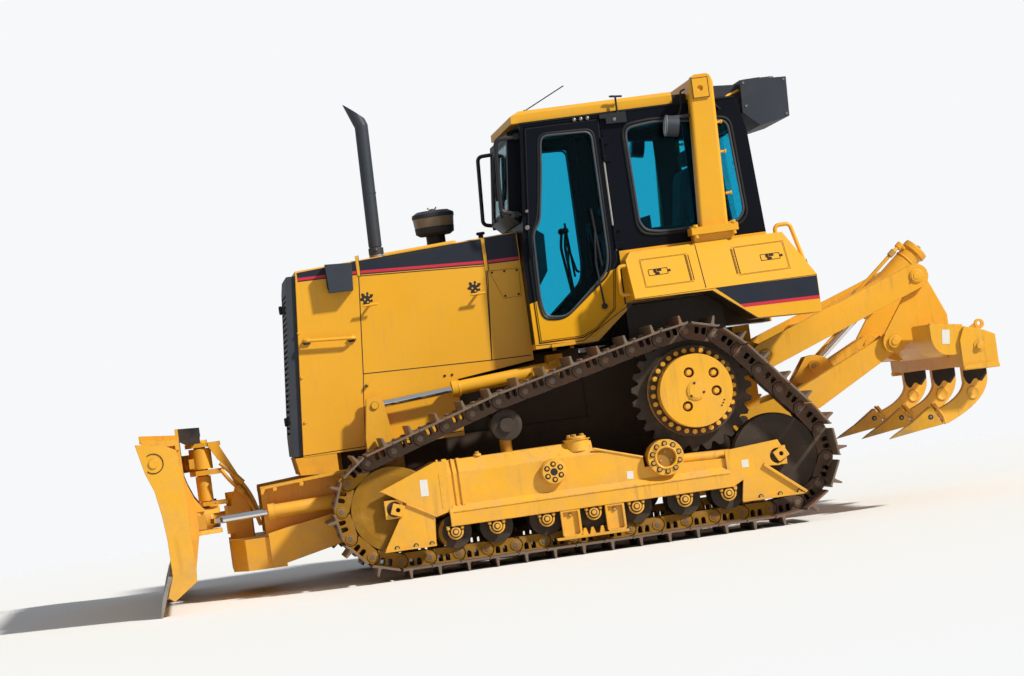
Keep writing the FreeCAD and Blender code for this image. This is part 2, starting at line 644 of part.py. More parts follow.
def hood_block():
    """The space under the hood's top skin, for trimming what stands on it."""
    return plate(hood_side(), -HOOD_HALF, HOOD_HALF)


def cleaner():
    """Air precleaner bowl on its neck."""
    # Columns: height, radius
    profile = ((2150, 58), (2262, 58), (2262, 104), (2278, 128), (2314, 130), (2318, 142), (2322, 134),
               (2380, CLEANER_R - 2), (2392, CLEANER_R + 3), (2404, CLEANER_R), (2424, 118), (2430, 0))
    points = [Vector(CLEANER_X, CLEANER_Y, 2150)] + [Vector(CLEANER_X + r, CLEANER_Y, z) for z, r in profile]
    face = Part.Face(Part.makePolygon(points + points[:1]))
    bowl = face.revolve(Vector(CLEANER_X, CLEANER_Y, 0), Vector(0, 0, 1), 360)
    return bowl.cut(hood_block())


# Cab
def up(height):
    """A height above the belt line, which moves in proportion when the eaves do."""
    return BELT_Z + (height - BELT_Z) * (CAB_EAVES - BELT_Z) / CAB_RISE


CAB_SIDE = [
    (CAB_FRONT_X, FLOOR_BOTTOM + FLOOR_THICK), (CAB_FRONT_X, BELT_Z), (CAB_FRONT_TOP_X, CAB_EAVES),
    (CAB_REAR_TOP_X, CAB_EAVES), (CAB_REAR_X + 35, up(2661)), (CAB_REAR_X, BELT_Z), (DOOR_REAR_X - 15, BELT_Z),
    (DOOR_REAR_X - 15, STEP_TOP), (STEP_FRONT_X, FLOOR_BOTTOM + FLOOR_THICK)]
DOOR = [
    (DOOR_REAR_X, up(2856)), (DOOR_REAR_X, 1895), (364, 1850), (402, 1575), (545, 1454), (640, 1416),
    (930, 1416), (936, 1945), (842, up(2856))]
DOOR_WINDOW = [
    (398, up(2778)), (398, 1946), (420, 1828), (728, 1566), (872, 1580), (892, 1701), (880, up(2145)),
    (822, up(2225)), (770, up(2545)), (742, up(2790))]
REAR_WINDOW = [
    (168, up(2770)), (-40, up(2790)), (-530, up(2735)), (-562, up(2110)), (-500, up(2044)), (30, up(2050)),
    (120, up(2070)), (156, up(2130))]


def cab_face(z):
    """Front face of the cab's corner posts at a height above the belt line."""
    share = (z - BELT_Z) / (CAB_EAVES - BELT_Z)
    return CAB_FRONT_X + (CAB_FRONT_TOP_X - CAB_FRONT_X) * share


def post_face(z):
    """Front face of the leaning rollover posts at a height."""
    share = (z - POST_FOOT_Z - 40) / (POST_KNEE - POST_FOOT_Z - 40)
    return POST_FRONT_X + (POST_FRONT_TOP_X - POST_FRONT_X) * share


def cab_tub():
    """Yellow cab floor in sheets: foot plate, slope, seat floor on its post, rear wall and sides."""
    low = FLOOR_BOTTOM
    edge = DOOR_REAR_X - 15
    outer = plate([
        (CAB_FRONT_X, low), (CAB_FRONT_X, low + FLOOR_THICK - SEAM), (STEP_FRONT_X, low + FLOOR_THICK - SEAM),
        (edge, STEP_TOP - SEAM), (edge, BELT_Z - SEAM), (CAB_REAR_X, BELT_Z - SEAM),
        (CAB_REAR_X, SEAT_FLOOR - 60), (edge - 45, SEAT_FLOOR - 60), (STEP_FRONT_X - 20, low)], -CAB_HALF, CAB_HALF)
    inner = box(CAB_REAR_X + CAB_WALL, DOOR_REAR_X - 14, -CAB_HALF + CAB_WALL, CAB_HALF - CAB_WALL, SEAT_FLOOR, BELT_Z)
    post = box(-400, 270, -300, 300, low - 20 + SEAM, SEAT_FLOOR - 50)
    tub = fuse([outer.cut(inner), post])
    seams = [
        box(STEP_FRONT_X, STEP_FRONT_X + SEAM, -CAB_HALF - 1, CAB_HALF + 1, low - 1, STEP_TOP),
        box(edge - SEAM, edge, -CAB_HALF - 1, CAB_HALF + 1, low - 1, BELT_Z),
        box(CAB_REAR_X - 1, edge + 1, -CAB_HALF - 1, CAB_HALF + 1, SEAT_FLOOR - SEAM, SEAT_FLOOR),
        box(CAB_REAR_X - 1, CAB_REAR_X + CAB_WALL + 1, CAB_HALF - CAB_WALL - SEAM, CAB_HALF - CAB_WALL,
            SEAT_FLOOR, BELT_Z)]
    return tub.cut(seams + [mirrored(seams[3])]).Solids


def hinge_space(spans, y):
    """Room round the door's hinge line at the given heights."""
    return fuse([upright(DOOR_REAR_X, y, low - SEAM, high + SEAM, HINGE_R + 1.5) for low, high in spans])


def cab_frame():
    """Black cab: roof ring, pillars, windscreen bay and rear wall as one thin shell with its windows cut."""
    outer = plate(CAB_SIDE, -CAB_HALF, CAB_HALF)
    bay_half = CAB_HALF - 112
    bay = plate([
        (CAB_FRONT_X - 20, up(2235)), (CAB_FRONT_X + 46, up(2300)), (950, up(2850)),
        (CAB_FRONT_TOP_X - 40, up(2880))], -bay_half, bay_half)
    outer = fuse([outer, bay])
    w = CAB_WALL
    inner = plate([
        (CAB_FRONT_X - w, 1300), (CAB_FRONT_X - w, BELT_Z), (CAB_FRONT_TOP_X - w, CAB_EAVES - w),
        (CAB_REAR_TOP_X + w, CAB_EAVES - w), (CAB_REAR_X + 35 + w, up(2661)), (CAB_REAR_X + w, BELT_Z - 10),
        (CAB_REAR_X + w, 1300)],
        -CAB_HALF + w, CAB_HALF - w)
    bay_inner = plate([
        (CAB_FRONT_X - 70, up(2290)), (CAB_FRONT_X + 12, up(2312)), (918, up(2838)),
        (CAB_FRONT_TOP_X - 60, up(2838))], -bay_half + 30, bay_half - 30)
    shell = outer.cut([inner, bay_inner])
    door_hole = grown_plate(DOOR, DOOR_GAP, -CAB_HALF - 5, CAB_HALF + 5)
    side_window = plate(REAR_WINDOW, -CAB_HALF - 5, CAB_HALF + 5)
    front = box(CAB_FRONT_X - 60, CAB_FRONT_X + 90, -SCREEN_HALF, SCREEN_HALF, up(2330), up(2800))
    rear = box(CAB_REAR_X - 20, CAB_REAR_X + 120, -REAR_PANE_HALF, REAR_PANE_HALF, up(2060), up(2700))
    shell = shell.cut([door_hole, side_window, front, rear] + both(hinge_space(DOOR_KNUCKLES, DOOR_OUT)))
    knuckles = []
    for low, high in FRAME_KNUCKLES:
        leaf = box(DOOR_REAR_X - 48, DOOR_REAR_X, CAB_HALF - 4, DOOR_OUT + 4, low, high)
        knuckles += both(fuse([leaf, upright(DOOR_REAR_X, DOOR_OUT, low, high, HINGE_R)]))
    # Thin cuts part the shell into its sheets: two sides, roof, front and a rear wall in two heights
    high = CAB_EAVES - w
    bend = up(2661)
    seams = both(box(CAB_REAR_X - 9, CAB_FRONT_X + 99, CAB_HALF - w - SEAM, CAB_HALF - w, 1300, CAB_EAVES + 9))
    seams.append(box(CAB_REAR_X - 9, CAB_FRONT_X + 99, w - CAB_HALF, CAB_HALF - w, high - SEAM, high))
    seams.append(box(CAB_REAR_X - 9, CAB_REAR_X + 199, w - CAB_HALF, CAB_HALF - w, bend - SEAM, bend))
    return fuse([shell] + knuckles).cut(seams).Solids


def slanted_pane(low, high, thick, half):
    """A flat pane between two side-view points, given thickness forward."""
    return plate([low, (low[0] + thick, low[1]), (high[0] + thick, high[1]), high], -half, half)


def cab_glass():
    """Fixed panes: windscreen, rear window and the two rear side windows, seated in their frames."""
    screen = slanted_pane(
        (CAB_FRONT_X + 22, up(2330) + SEAM), (933.4, up(2800) - SEAM), GLASS, SCREEN_HALF - SEAM)
    rear = slanted_pane(
        (CAB_REAR_X + 20, up(2060) + SEAM), (-638, up(2700) - SEAM), GLASS, REAR_PANE_HALF - SEAM)
    panes = [screen, rear]
    side = grown_plate(REAR_WINDOW, -SEAM, CAB_HALF - 24, CAB_HALF - 24 + GLASS)
    return panes + both(side)


def cab_roof():
    """Yellow roof cap with chamfered edges."""
    base = [(CAB_FRONT_TOP_X + 56, CAB_EAVES + SEAM), (-181, CAB_EAVES + SEAM), (-181, ROOF_TOP), (860, ROOF_TOP),
            (CAB_FRONT_TOP_X + 54, ROOF_TOP - 30)]
    cap = plate(base, -ROOF_HALF, ROOF_HALF)
    rims = [e for e in cap.Edges if abs(e.CenterOfMass.z - ROOF_TOP) < 1 and abs(abs(e.CenterOfMass.y) - ROOF_HALF) < 1]
    return cap.makeChamfer(24, rims)


def door():
    """Left cab door: frame as thick as the wall, with its window cut, handle and hinges."""
    slab = plate(DOOR, DOOR_OUT - CAB_WALL, DOOR_OUT)
    slab = slab.cut(plate(DOOR_WINDOW, DOOR_OUT - CAB_WALL - 1, DOOR_OUT + 1))
    slab = slab.cut(hinge_space(FRAME_KNUCKLES, DOOR_OUT))
    handle = box(900, 922, DOOR_OUT - 1, DOOR_OUT + 26, 2000, 2130)
    knuckles = [upright(DOOR_REAR_X, DOOR_OUT, low, high, HINGE_R) for low, high in DOOR_KNUCKLES]
    return fuse([slab, handle] + knuckles)


def door_glass():
    return grown_plate(DOOR_WINDOW, -SEAM, DOOR_OUT - 24, DOOR_OUT - 24 + GLASS)


def console():
    """Dashboard, side consoles and levers that show through the glass."""
    dash = plate([
        (CAB_FRONT_X - CAB_WALL - SEAM, FLOOR_BOTTOM + FLOOR_THICK + SEAM), (CAB_FRONT_X - CAB_WALL - SEAM, BELT_Z - 5),
        (888, 2230), (860, 2230), (760, 2150), (770, 1900), (840, 1800), (840, FLOOR_BOTTOM + FLOOR_THICK + SEAM)], -420, 330)
    pieces = [dash]
    for side in (-1, 1):
        inner, outer = sorted((side * 330, side * 520))
        pieces.append(box(-300, 260, inner, outer, SEAT_FLOOR + SEAM, 2090))
        inner, outer = sorted((side * 360, side * 480))
        pieces.append(plate([(40, 2089), (300, 2089), (300, 2130), (40, 2180)], inner, outer))
        pieces.append(rod((200, side * 420, 2120), (240, side * 420, 2290), 14))
        pieces.append(Part.makeSphere(30, Vector(240, side * 420, 2290)))
    return [fuse(pieces[:1]), fuse(pieces[1:5]), fuse(pieces[5:])]


def seat_frame():
    return [box(-260, 160, -220, 220, SEAT_FLOOR + SEAM, 1900)]


def seat():
    """Operator's seat: base, cushion, backrest and headrest."""
    cushion = box(-280, 220, -250, 250, 1900 + SEAM, 2030)
    back = plate([(-300, 1990), (-170, 1990), (-250, 2620), (-370, 2620)], -240, 240)
    return fuse([cushion, back])


def fuel_tank():
    """Tank across the rear, between the fenders and behind the cab."""
    body = plate([
        (CAB_REAR_X - SEAM - 8, 1420), (CAB_REAR_X - SEAM - 8, 1925), (-760, 1925), (-905, 1640), (-905, 1420)],
        -CAB_HALF, CAB_HALF)
    cap = rod((-828, 300, 1781), (-866, 300, 1801), 55)
    return fuse([body, cap])


# Fenders
def slope_z(y):
    """Height of the fender's slanted face at a distance y from the middle."""
    share = (y - FENDER_TOP_OUT) / (FENDER_OUT - FENDER_TOP_OUT)
    return FENDER_TOP + (FENDER_EDGE - FENDER_TOP) * share


# Columns: name, front x, rear x, hinge x
LIDS = (("front", 226.0, -92.0, -92.0), ("rear", -404.0, -748.0, -404.0))
LID_HIGH_Y = FENDER_TOP_OUT + 45.0
LID_LOW_Y = FENDER_OUT - 45.0


def lid_plate(front, rear, grow, up, down):
    """A flat plate lying on the slanted face, from down below it to up above it."""
    dy = FENDER_OUT - FENDER_TOP_OUT
    dz = FENDER_EDGE - FENDER_TOP
    length = math.hypot(dy, dz)
    along = (dy / length, dz / length)
    out = (-along[1], along[0])
    low = (LID_LOW_Y + along[0] * grow, slope_z(LID_LOW_Y) + along[1] * grow)
    high = (LID_HIGH_Y - along[0] * grow, slope_z(LID_HIGH_Y) - along[1] * grow)
    corners = []
    for point, lift in ((high, up), (low, up), (low, -down), (high, -down)):
        corners.append((point[0] + out[0] * lift, point[1] + out[1] * lift))
    return section(corners, rear - grow, front + grow)


def lid(front, rear, hinge):
    """A locker lid with its hinge pin down the slope along its edge."""
    pin = rod((hinge, LID_HIGH_Y, slope_z(LID_HIGH_Y)), (hinge, LID_LOW_Y, slope_z(LID_LOW_Y)), LID_PIN_R)
    return fuse([lid_plate(front, rear, 0, 0, LID_THICK), pin])


def fender():
    """Left fender: a box with a slanted outer face over the track, with two lidded lockers."""
    side = plate([
        (FENDER_FRONT_X, 1607), (-201, 1600), (-478, 1380), (FENDER_REAR_X, FENDER_BOTTOM_REAR),
        (FENDER_REAR_X, FENDER_EDGE), (FENDER_REAR_X + 150, FENDER_TOP), (FENDER_FRONT_X - 40, FENDER_TOP),
        (FENDER_FRONT_X, 1880)], CAB_HALF + SEAM, FENDER_OUT)
    wedge = section([
        (FENDER_TOP_OUT, FENDER_TOP), (FENDER_OUT + 1, slope_z(FENDER_OUT + 1)), (FENDER_OUT + 1, FENDER_TOP + 20),
        (FENDER_TOP_OUT, FENDER_TOP + 20)], FENDER_REAR_X - 1, FENDER_FRONT_X + 1)
    body = side.cut(wedge)
    for name, front, rear, hinge in LIDS:
        body = body.cut(lid_plate(front, rear, 3, 5, LID_THICK + 2 * SEAM))
        body = body.cut(lid_plate(front, rear, -22, 5, 90))
    pedestal = plate([(-170, FENDER_TOP - 5), (-430, FENDER_TOP - 5), (-455, POST_FOOT_Z - SEAM), (-170, POST_FOOT_Z - SEAM)],
                     POST_IN - 30, POST_OUT - 10)
    return fuse([body, pedestal])


def rops():
    """Rollover protection: two leaning posts on bolted feet, joined by a beam behind the roof."""
    post = plate([(POST_FRONT_X, POST_FOOT_Z + 40), (-413, POST_FOOT_Z + 40), (-442, POST_KNEE), (-420, POST_TOP - 10),
                  (-400, POST_TOP), (-320, POST_TOP), (-300, POST_TOP - 10), (POST_FRONT_TOP_X, POST_KNEE)],
                 POST_IN, POST_OUT)
    corners = [e for e in post.Edges if abs(abs(e.tangentAt(e.FirstParameter).y)) < 0.3
               and abs(e.CenterOfMass.y - POST_OUT) < 1 and e.Length > 500]
    post = post.makeFillet(22, corners)
    foot = box(-470, -153, POST_IN - 40, POST_OUT + 40, POST_FOOT_Z, POST_FOOT_Z + 50)
    ear = box(-400, -296, POST_OUT - 2, POST_OUT + 14, POST_TOP - 162, POST_TOP - 22)
    ear = ear.cut(cross_pin((-346, POST_TOP - 96), POST_OUT - 5, POST_OUT + 20, 19))
    beam = plate([(-292, CAB_EAVES + 20), (-434, CAB_EAVES + 20), (-430, POST_TOP - 12), (-312, POST_TOP - 12)],
                 -POST_IN - 2, POST_IN + 2)
    return fuse(both(post) + both(foot) + both(ear) + [beam])


def air_box():
    """Black air-conditioning box behind the roof, on two arms from the rollover beam."""
    top = POST_TOP
    body = plate([(-700, top - 40), (-1020, top - 54), (-1008, top - 324), (-800, top - 364), (-690, top - 262)],
                 -480, 480)
    arms = [plate([(-434 - SEAM, top - 42), (-434 - SEAM, top - 122), (-600, top - 147), (-705, top - 202),
                   (-705, top - 62)], y, y + 40)
            for y in (-400, 360)]
    return fuse([body] + arms)


def lamps():
    """Lamp boxes on the hood sides and round work lamps beside the posts."""
    housing = plate([(2284, 2130), (2104, 2120), (2117, 1936), (2279, 1938)], HOOD_HALF + SEAM, HOOD_HALF + 96)
    housing = housing.cut(box(2262, 2290, HOOD_HALF + 12, HOOD_HALF + 84, 1962, 2104))
    y = POST_IN + 32
    lamp = rod((-100, y, up(2740)), (-176, y, up(2740) - 14), 70)
    stem = rod((-140, y, up(2790)), (post_face(up(2778)) + SEAM, y, up(2790)), 12)
    return both(housing) + both(fuse([lamp, stem]))


def rails():
    """Grab rails: hood nose, fender front, rear corner and beside the windscreen."""
    pieces = []
    pieces += both(bent_tube([(2486, HOOD_HALF + SEAM, 1642), (2486, 562, 1642), (2150, 562, 1620),
                              (2150, HOOD_HALF + SEAM, 1620)], 11, 24))
    pieces += both(bent_tube([(FENDER_FRONT_X + SEAM, 940, 1650), (374, 940, 1650), (374, 940, 1842),
                              (FENDER_FRONT_X + SEAM, 940, 1842)], 13, 26))
    pieces += both(bent_tube([(-728, 850, FENDER_TOP + SEAM), (-728, 850, 1982), (-830, 850, 1982),
                              (-900, 850, 1700)], 14, 34))
    y = CAB_HALF - 57
    pieces += both(bent_tube([(cab_face(up(2810)) + SEAM + 2, y, up(2810)), (1040, y, up(2805)), (1066, y, up(2320)),
                              (cab_face(up(2290)) + SEAM + 2, y, up(2290))], 14, 36))
    return pieces


# C-frame and blade
def c_frame():
    """C-shaped push frame: two arms inside the tracks, a deep nose, cylinder ears, guards and tower."""
    pivot = (LIFT_X, LIFT_Z)
    arm = plate([
        (LIFT_X, LIFT_Z + 85), (LIFT_X, LIFT_Z - 85), (2300, 300), (2700, 215), (2900, 172), (2900, 402),
        (2787, 424), (2445, 480), (2150, 500)], ARM_IN, ARM_OUT)
    arm = fuse([arm, cross_pin(pivot, ARM_IN, ARM_OUT, 88)])
    hole = cross_pin(pivot, ARM_IN - 1, ARM_OUT + 1, PIN_R + 12 + PIN_FIT)
    nose = plan([
        (2800, ARM_OUT), (3060, ARM_OUT - 40), (3155, 420), (3155, -420), (3060, -ARM_OUT + 40), (2800, -ARM_OUT),
        (2800, -ARM_IN), (2880, -380), (2880, 380), (2800, ARM_IN)], 172, 380)
    ear = [(1925, 470), (2175, 470), (2172, 935), (2134, 1200), (2080, 1208), (2022, 1166)]
    hoods = plate([
        (2912, 664), (2912, 700), (2880, 716), (2400, 752), (2330, 752), (2330, 735), (2880, 698), (2898, 664)],
        ARM_IN, ARM_OUT)
    web = plate([(2912, 716), (2330, 752), (2330, 470), (2480, 470), (2912, 385)], ARM_IN, ARM_IN + 10)
    pieces = [cut(arm, [hole]), hoods, web]
    for y in (LIFT_CYL_Y - 50, LIFT_CYL_Y + 30):
        pieces.append(plate(ear, y, y + 20))
        pieces.append(cross_pin((EAR_X, EAR_Z), y, y + 20, 58))
    pieces.append(cross_pin((EAR_X, EAR_Z), LIFT_CYL_Y + LIFT_EYE / 2 + SEAM, LIFT_CYL_Y + 62, 24))
    pieces.append(box(1935, 2085, LIFT_CYL_Y - 50, LIFT_CYL_Y + 50, 475, 900))
    # Lugs for the rear balls of the angle cylinders
    lug = [(ANGLE_CYL_X - 70, 490), (ANGLE_CYL_X + 35, 490), (ANGLE_CYL_X + 35, ANGLE_CYL_Z + 45),
           (ANGLE_CYL_X - 50, ANGLE_CYL_Z + 45)]
    pieces.append(plate(lug, ARM_IN, ANGLE_CYL_Y - ANGLE_EYE / 2 - SIDE_GAP))
    pieces.append(cross_pin((ANGLE_CYL_X, ANGLE_CYL_Z), ANGLE_CYL_Y - 30, ANGLE_CYL_Y + 30, 24))
    left = fuse(pieces)
    tower = []
    post = upright(3060, 0, 300, 700, 84)
    # Columns: lower height, upper height, front x of the tower's level plates
    for low, high, front in ((1030, 1058, 3372), (838, 872, 3362), (628, 656, 3340)):
        tower.append(plan([(3130, 90), (front - 40, 80), (front, 45), (front, -45), (front - 40, -80), (3130, -90)], low, high))
    leg = [(3216, 1058), (3148, 1052), (3130, 1007), (3000, 735), (2985, 640), (2985, 300), (3110, 300), (3110, 640),
           (3062, 742), (3101, 838), (3101, 872), (3160, 930), (3190, 985), (3216, 1030)]
    for y in (-90, 64):
        tower.append(plate(leg, y, y + 26))
    neck = rod((3100, 0, BALL_Z), (BALL_X, 0, BALL_Z), 40)
    ball = Part.makeSphere(BALL_R, Vector(BALL_X, 0, BALL_Z))
    front_plate = box(3020, 3160, -90, 90, 420, 610)
    frame = fuse([left, mirrored(left), nose] + tower + [post, neck, ball, front_plate])
    return frame.cut(upright(BALL_X, 0, 620, 1070, 40 + PIN_FIT))


def blade_yoke():
    """Upright pin through the tower's plates, with the boss and arm that steer the blade's angle."""
    pin = upright(BALL_X, 0, 629, 1076, 40)
    head = upright(BALL_X, 0, 1058 + SEAM, 1078, 58)
    boss = upright(BALL_X, 0, 880, 1022, 76)
    sleeve = upright(BALL_X, 0, 662, 832, 52)
    arm = box(BALL_X, TILT_CYL_X + 14, -YOKE_ARM, YOKE_ARM, TILT_CYL_Z - 34, TILT_CYL_Z + 34)
    return fuse([pin, head, boss, sleeve, arm])


def moldboard():
    """Blade: curved plate, box back, end plates, upright ribs, clevises, socket and centre guard."""
    # The concave front in the side view, from the top edge down
    curve = [(3640, BLADE_TOP), (3560, 930), (3520, 760), (3508, 600), (3520, 430), (3556, 250), (3610, 110)]
    wall = 30
    skin = plate(curve + [(x - wall, z) for x, z in reversed(curve)], -BLADE_HALF + 26, BLADE_HALF - 26)
    top = plate([(3657, 1108), (3657, 1160), (3412, 1134), (3412, 1060), (3440, 1060), (3440, 1100)],
                -BLADE_HALF + 500, BLADE_HALF - 500)
    rail = plate([(3640, 1075), (3640, BLADE_TOP), (3405, 1104), (3405, 1040), (3430, 1040), (3430, 1070)],
                 -BLADE_HALF + 26, BLADE_HALF - 26)
    spine = plate([(3530, 740), (3412, 700), (3405, 440), (3530, 330)], -BLADE_HALF + 26, BLADE_HALF - 26)
    foot = plate([(3575, 165), (3410, 250), (3405, 200), (3585, 110)], -BLADE_HALF + 26, BLADE_HALF - 26)
    end = [
        (END_PLATE_X, 1108), (3656, 989), (3640, 917), (3596, 800), (3570, 640), (3556, 480), (3554, 252), (3600, 122),
        (3560, 90), (3404, 200), (3404, 538), (3408, 843), (3424, 1040), (3500, 1080)]
    pieces = [skin, top, rail, spine, foot]
    pieces += both(plate(end, BLADE_HALF - 26, BLADE_HALF))
    pieces += both(cross_pin((3579, 975), BLADE_HALF - 4, BLADE_HALF + 8, 30))
    rib = [
        (3540, 1070), (3405, 1070), (3402, 841), (3383, 774), (3351, 691), (3310, 628), (3290, 612), (3351, 612),
        (3351, 470), (3400, 250), (3540, 200)]
    for y in (CLEVIS_Y + 130, CLEVIS_Y - 170, 1200, 260):
        pieces += both(plate(rib if y < 1000 else [(max(x, 3404), z) for x, z in rib], y, y + 24))
    half = CLEVIS_GAP / 2
    for low, high in ((BALL_Z - half - 28, BALL_Z - half), (BALL_Z + half, BALL_Z + half + 28)):
        clevis = plan([(3410, CLEVIS_Y + 150), (3340, CLEVIS_Y + 150), (3205, CLEVIS_Y + 60), (3196, CLEVIS_Y),
                       (3205, CLEVIS_Y - 90), (3340, CLEVIS_Y - 170), (3410, CLEVIS_Y - 170)], low, high)
        pieces += both(clevis)
    pieces += both(upright(CLEVIS_X, CLEVIS_Y, BALL_Z + half + 20, BALL_Z + half + 46, 30))
    # Socket round the ball, carried on a block from the blade's spine
    socket = fuse([box(BALL_X + 20, 3420, -115, 115, BALL_Z - 85, BALL_Z + 68),
                   Part.makeCylinder(84, 60, Vector(BALL_X - 20, 0, BALL_Z), Vector(1, 0, 0))])
    pieces.append(socket)
    guard = plate([(3268, 1104), (3258, 1104), (3258, 1166), (3425, 1176), (3425, 1120), (3412, 1120), (3412, 1164),
                   (3268, 1154)], -250, 250)
    pieces.append(guard)
    cheek = [(3412, 1164), (3258, 1160), (3265, 1062), (3359, 1057), (3412, 1090)]
    pieces += both(plate(cheek, 226, 250))
    # Ears for the tilt cylinder's blade end
    for x, wide in ((TILT_CYL_X - 42, 20), (TILT_CYL_X + 22, 36)):
        pieces.append(box(x, x + wide, -TILT_CYL_Y - 60, -TILT_CYL_Y + 40, TILT_CYL_Z - 60, TILT_CYL_Z + 60))
    pieces.append(box(TILT_CYL_X + 56, 3560, -TILT_CYL_Y - 60, -TILT_CYL_Y + 60, TILT_CYL_Z - 50, TILT_CYL_Z + 50))
    pieces.append(box(TILT_CYL_X - 42, TILT_CYL_X + 60, -TILT_CYL_Y - 76, -TILT_CYL_Y - 60, TILT_CYL_Z - 60, TILT_CYL_Z + 60))
    pieces.append(rod((TILT_CYL_X - 50, -TILT_CYL_Y, TILT_CYL_Z), (TILT_CYL_X + 45, -TILT_CYL_Y, TILT_CYL_Z), 20))
    body = fuse(pieces)
    return body.cut(Part.makeSphere(BALL_R + 0.3, Vector(BALL_X, 0, BALL_Z)))


def cutting_edge():
    """Bolted cutting edge and end bits along the blade's lower front."""
    return plate([(3556 + SEAM, 250), (3610 + SEAM, 110), (BLADE_TIP_X - 15, 0), (BLADE_TIP_X, 0), (BLADE_TIP_X, 8),
                  (3636, 118), (3580, 256)], -BLADE_HALF, BLADE_HALF)


def barrel_and_rod(start, end, barrel_length, barrel_r, rod_r, eye, eye_thick, pin_r):
    """A hydraulic cylinder: barrel with a rear eye at start, and the rod that runs toward end."""
    a = Vector(*start)
    b = Vector(*end)
    unit = (b - a).normalize()
    bore = barrel_r - 12
    barrel = Part.makeCylinder(barrel_r, barrel_length - eye + EYE_BITE, a + unit * (eye - EYE_BITE), unit)
    barrel = barrel.cut(Part.makeCylinder(bore, barrel_length, a + unit * (eye + 40), unit))
    gland = Part.makeCylinder(barrel_r + 8, 46, a + unit * (barrel_length - 46), unit)
    gland = gland.cut(Part.makeCylinder(rod_r + PIN_FIT, 60, a + unit * (barrel_length - 50), unit))
    rear = Part.makeCylinder(eye, eye_thick, a - Vector(0, eye_thick / 2, 0), Vector(0, 1, 0))
    neck = Part.makeCylinder(eye_thick * 0.45, eye + 4, a, unit)
    hole = Part.makeCylinder(pin_r + PIN_FIT, eye_thick + 60, a - Vector(0, eye_thick / 2 + 30, 0), Vector(0, 1, 0))
    body = fuse([barrel, gland, rear, neck]).cut(hole)
    inside = a + unit * (barrel_length - 130)
    shaft = Part.makeCylinder(rod_r, (b - inside).Length - eye * 0.4, inside, unit)
    return body, shaft


def lift_cylinder():
    start = (LIFT_CYL_X, LIFT_CYL_Y, LIFT_CYL_Z)
    end = (EAR_X, LIFT_CYL_Y, EAR_Z)
    body, shaft = barrel_and_rod(start, end, 708, 48, 25, 52, 60, 28)
    eye = Part.makeCylinder(50, LIFT_EYE, Vector(EAR_X, LIFT_CYL_Y - LIFT_EYE / 2, EAR_Z), Vector(0, 1, 0))
    return body, fuse([shaft, eye])


def angle_cylinder():
    start = (ANGLE_CYL_X, ANGLE_CYL_Y, ANGLE_CYL_Z)
    end = (CLEVIS_X, CLEVIS_Y, BALL_Z)
    body, shaft = barrel_and_rod(start, end, 735, 46, 24, 44, ANGLE_EYE, 24)
    eye = Part.makeCylinder(44, ANGLE_EYE, Vector(CLEVIS_X, CLEVIS_Y, BALL_Z - ANGLE_EYE / 2), Vector(0, 0, 1))
    return body, fuse([shaft, eye])


def tilt_cylinder():
    """Crosswise cylinder between the blade and the yoke; its pins run fore and aft."""
    a = Vector(TILT_CYL_X, -TILT_CYL_Y, TILT_CYL_Z)
    unit = Vector(0, 1, 0)
    length = 330
    eye = 44
    barrel = Part.makeCylinder(50, length - eye, a + unit * eye, unit)
    barrel = barrel.cut(Part.makeCylinder(38, length, a + unit * (eye + 30), unit))
    gland = Part.makeCylinder(56, 36, a + unit * (length - 36), unit)
    gland = gland.cut(Part.makeCylinder(24 + PIN_FIT, 60, a + unit * (length - 50), unit))
    rear = Part.makeCylinder(eye, 40, a - Vector(20, 0, 0), Vector(1, 0, 0))
    neck = Part.makeCylinder(20, eye + 4, a, unit)
    hole = Part.makeCylinder(20 + PIN_FIT, 140, a - Vector(70, 0, 0), Vector(1, 0, 0))
    body = fuse([barrel, gland, rear, neck]).cut(hole)
    # The rod ends in a half ball that rolls on the yoke's arm
    tip = a + unit * (TILT_CYL_Y - YOKE_ARM - ROD_END_GAP - TILT_ROD_R)
    shaft = Part.makeCylinder(TILT_ROD_R, (tip - a).Length - 190, a + unit * 190, unit)
    return body, fuse([shaft, Part.makeSphere(TILT_ROD_R, tip)])


# Ripper
def link_outline(front, rear, half_front, half_rear):
    """Side-view outline of a straight link with given half depths at its ends."""
    dx = rear[0] - front[0]
    dz = rear[1] - front[1]
    length = math.hypot(dx, dz)
    n = (-dz / length, dx / length)
    return [
        (front[0] + n[0] * half_front, front[1] + n[1] * half_front),
        (rear[0] + n[0] * half_rear, rear[1] + n[1] * half_rear),
        (rear[0] - n[0] * half_rear, rear[1] - n[1] * half_rear),
        (front[0] - n[0] * half_front, front[1] - n[1] * half_front)]


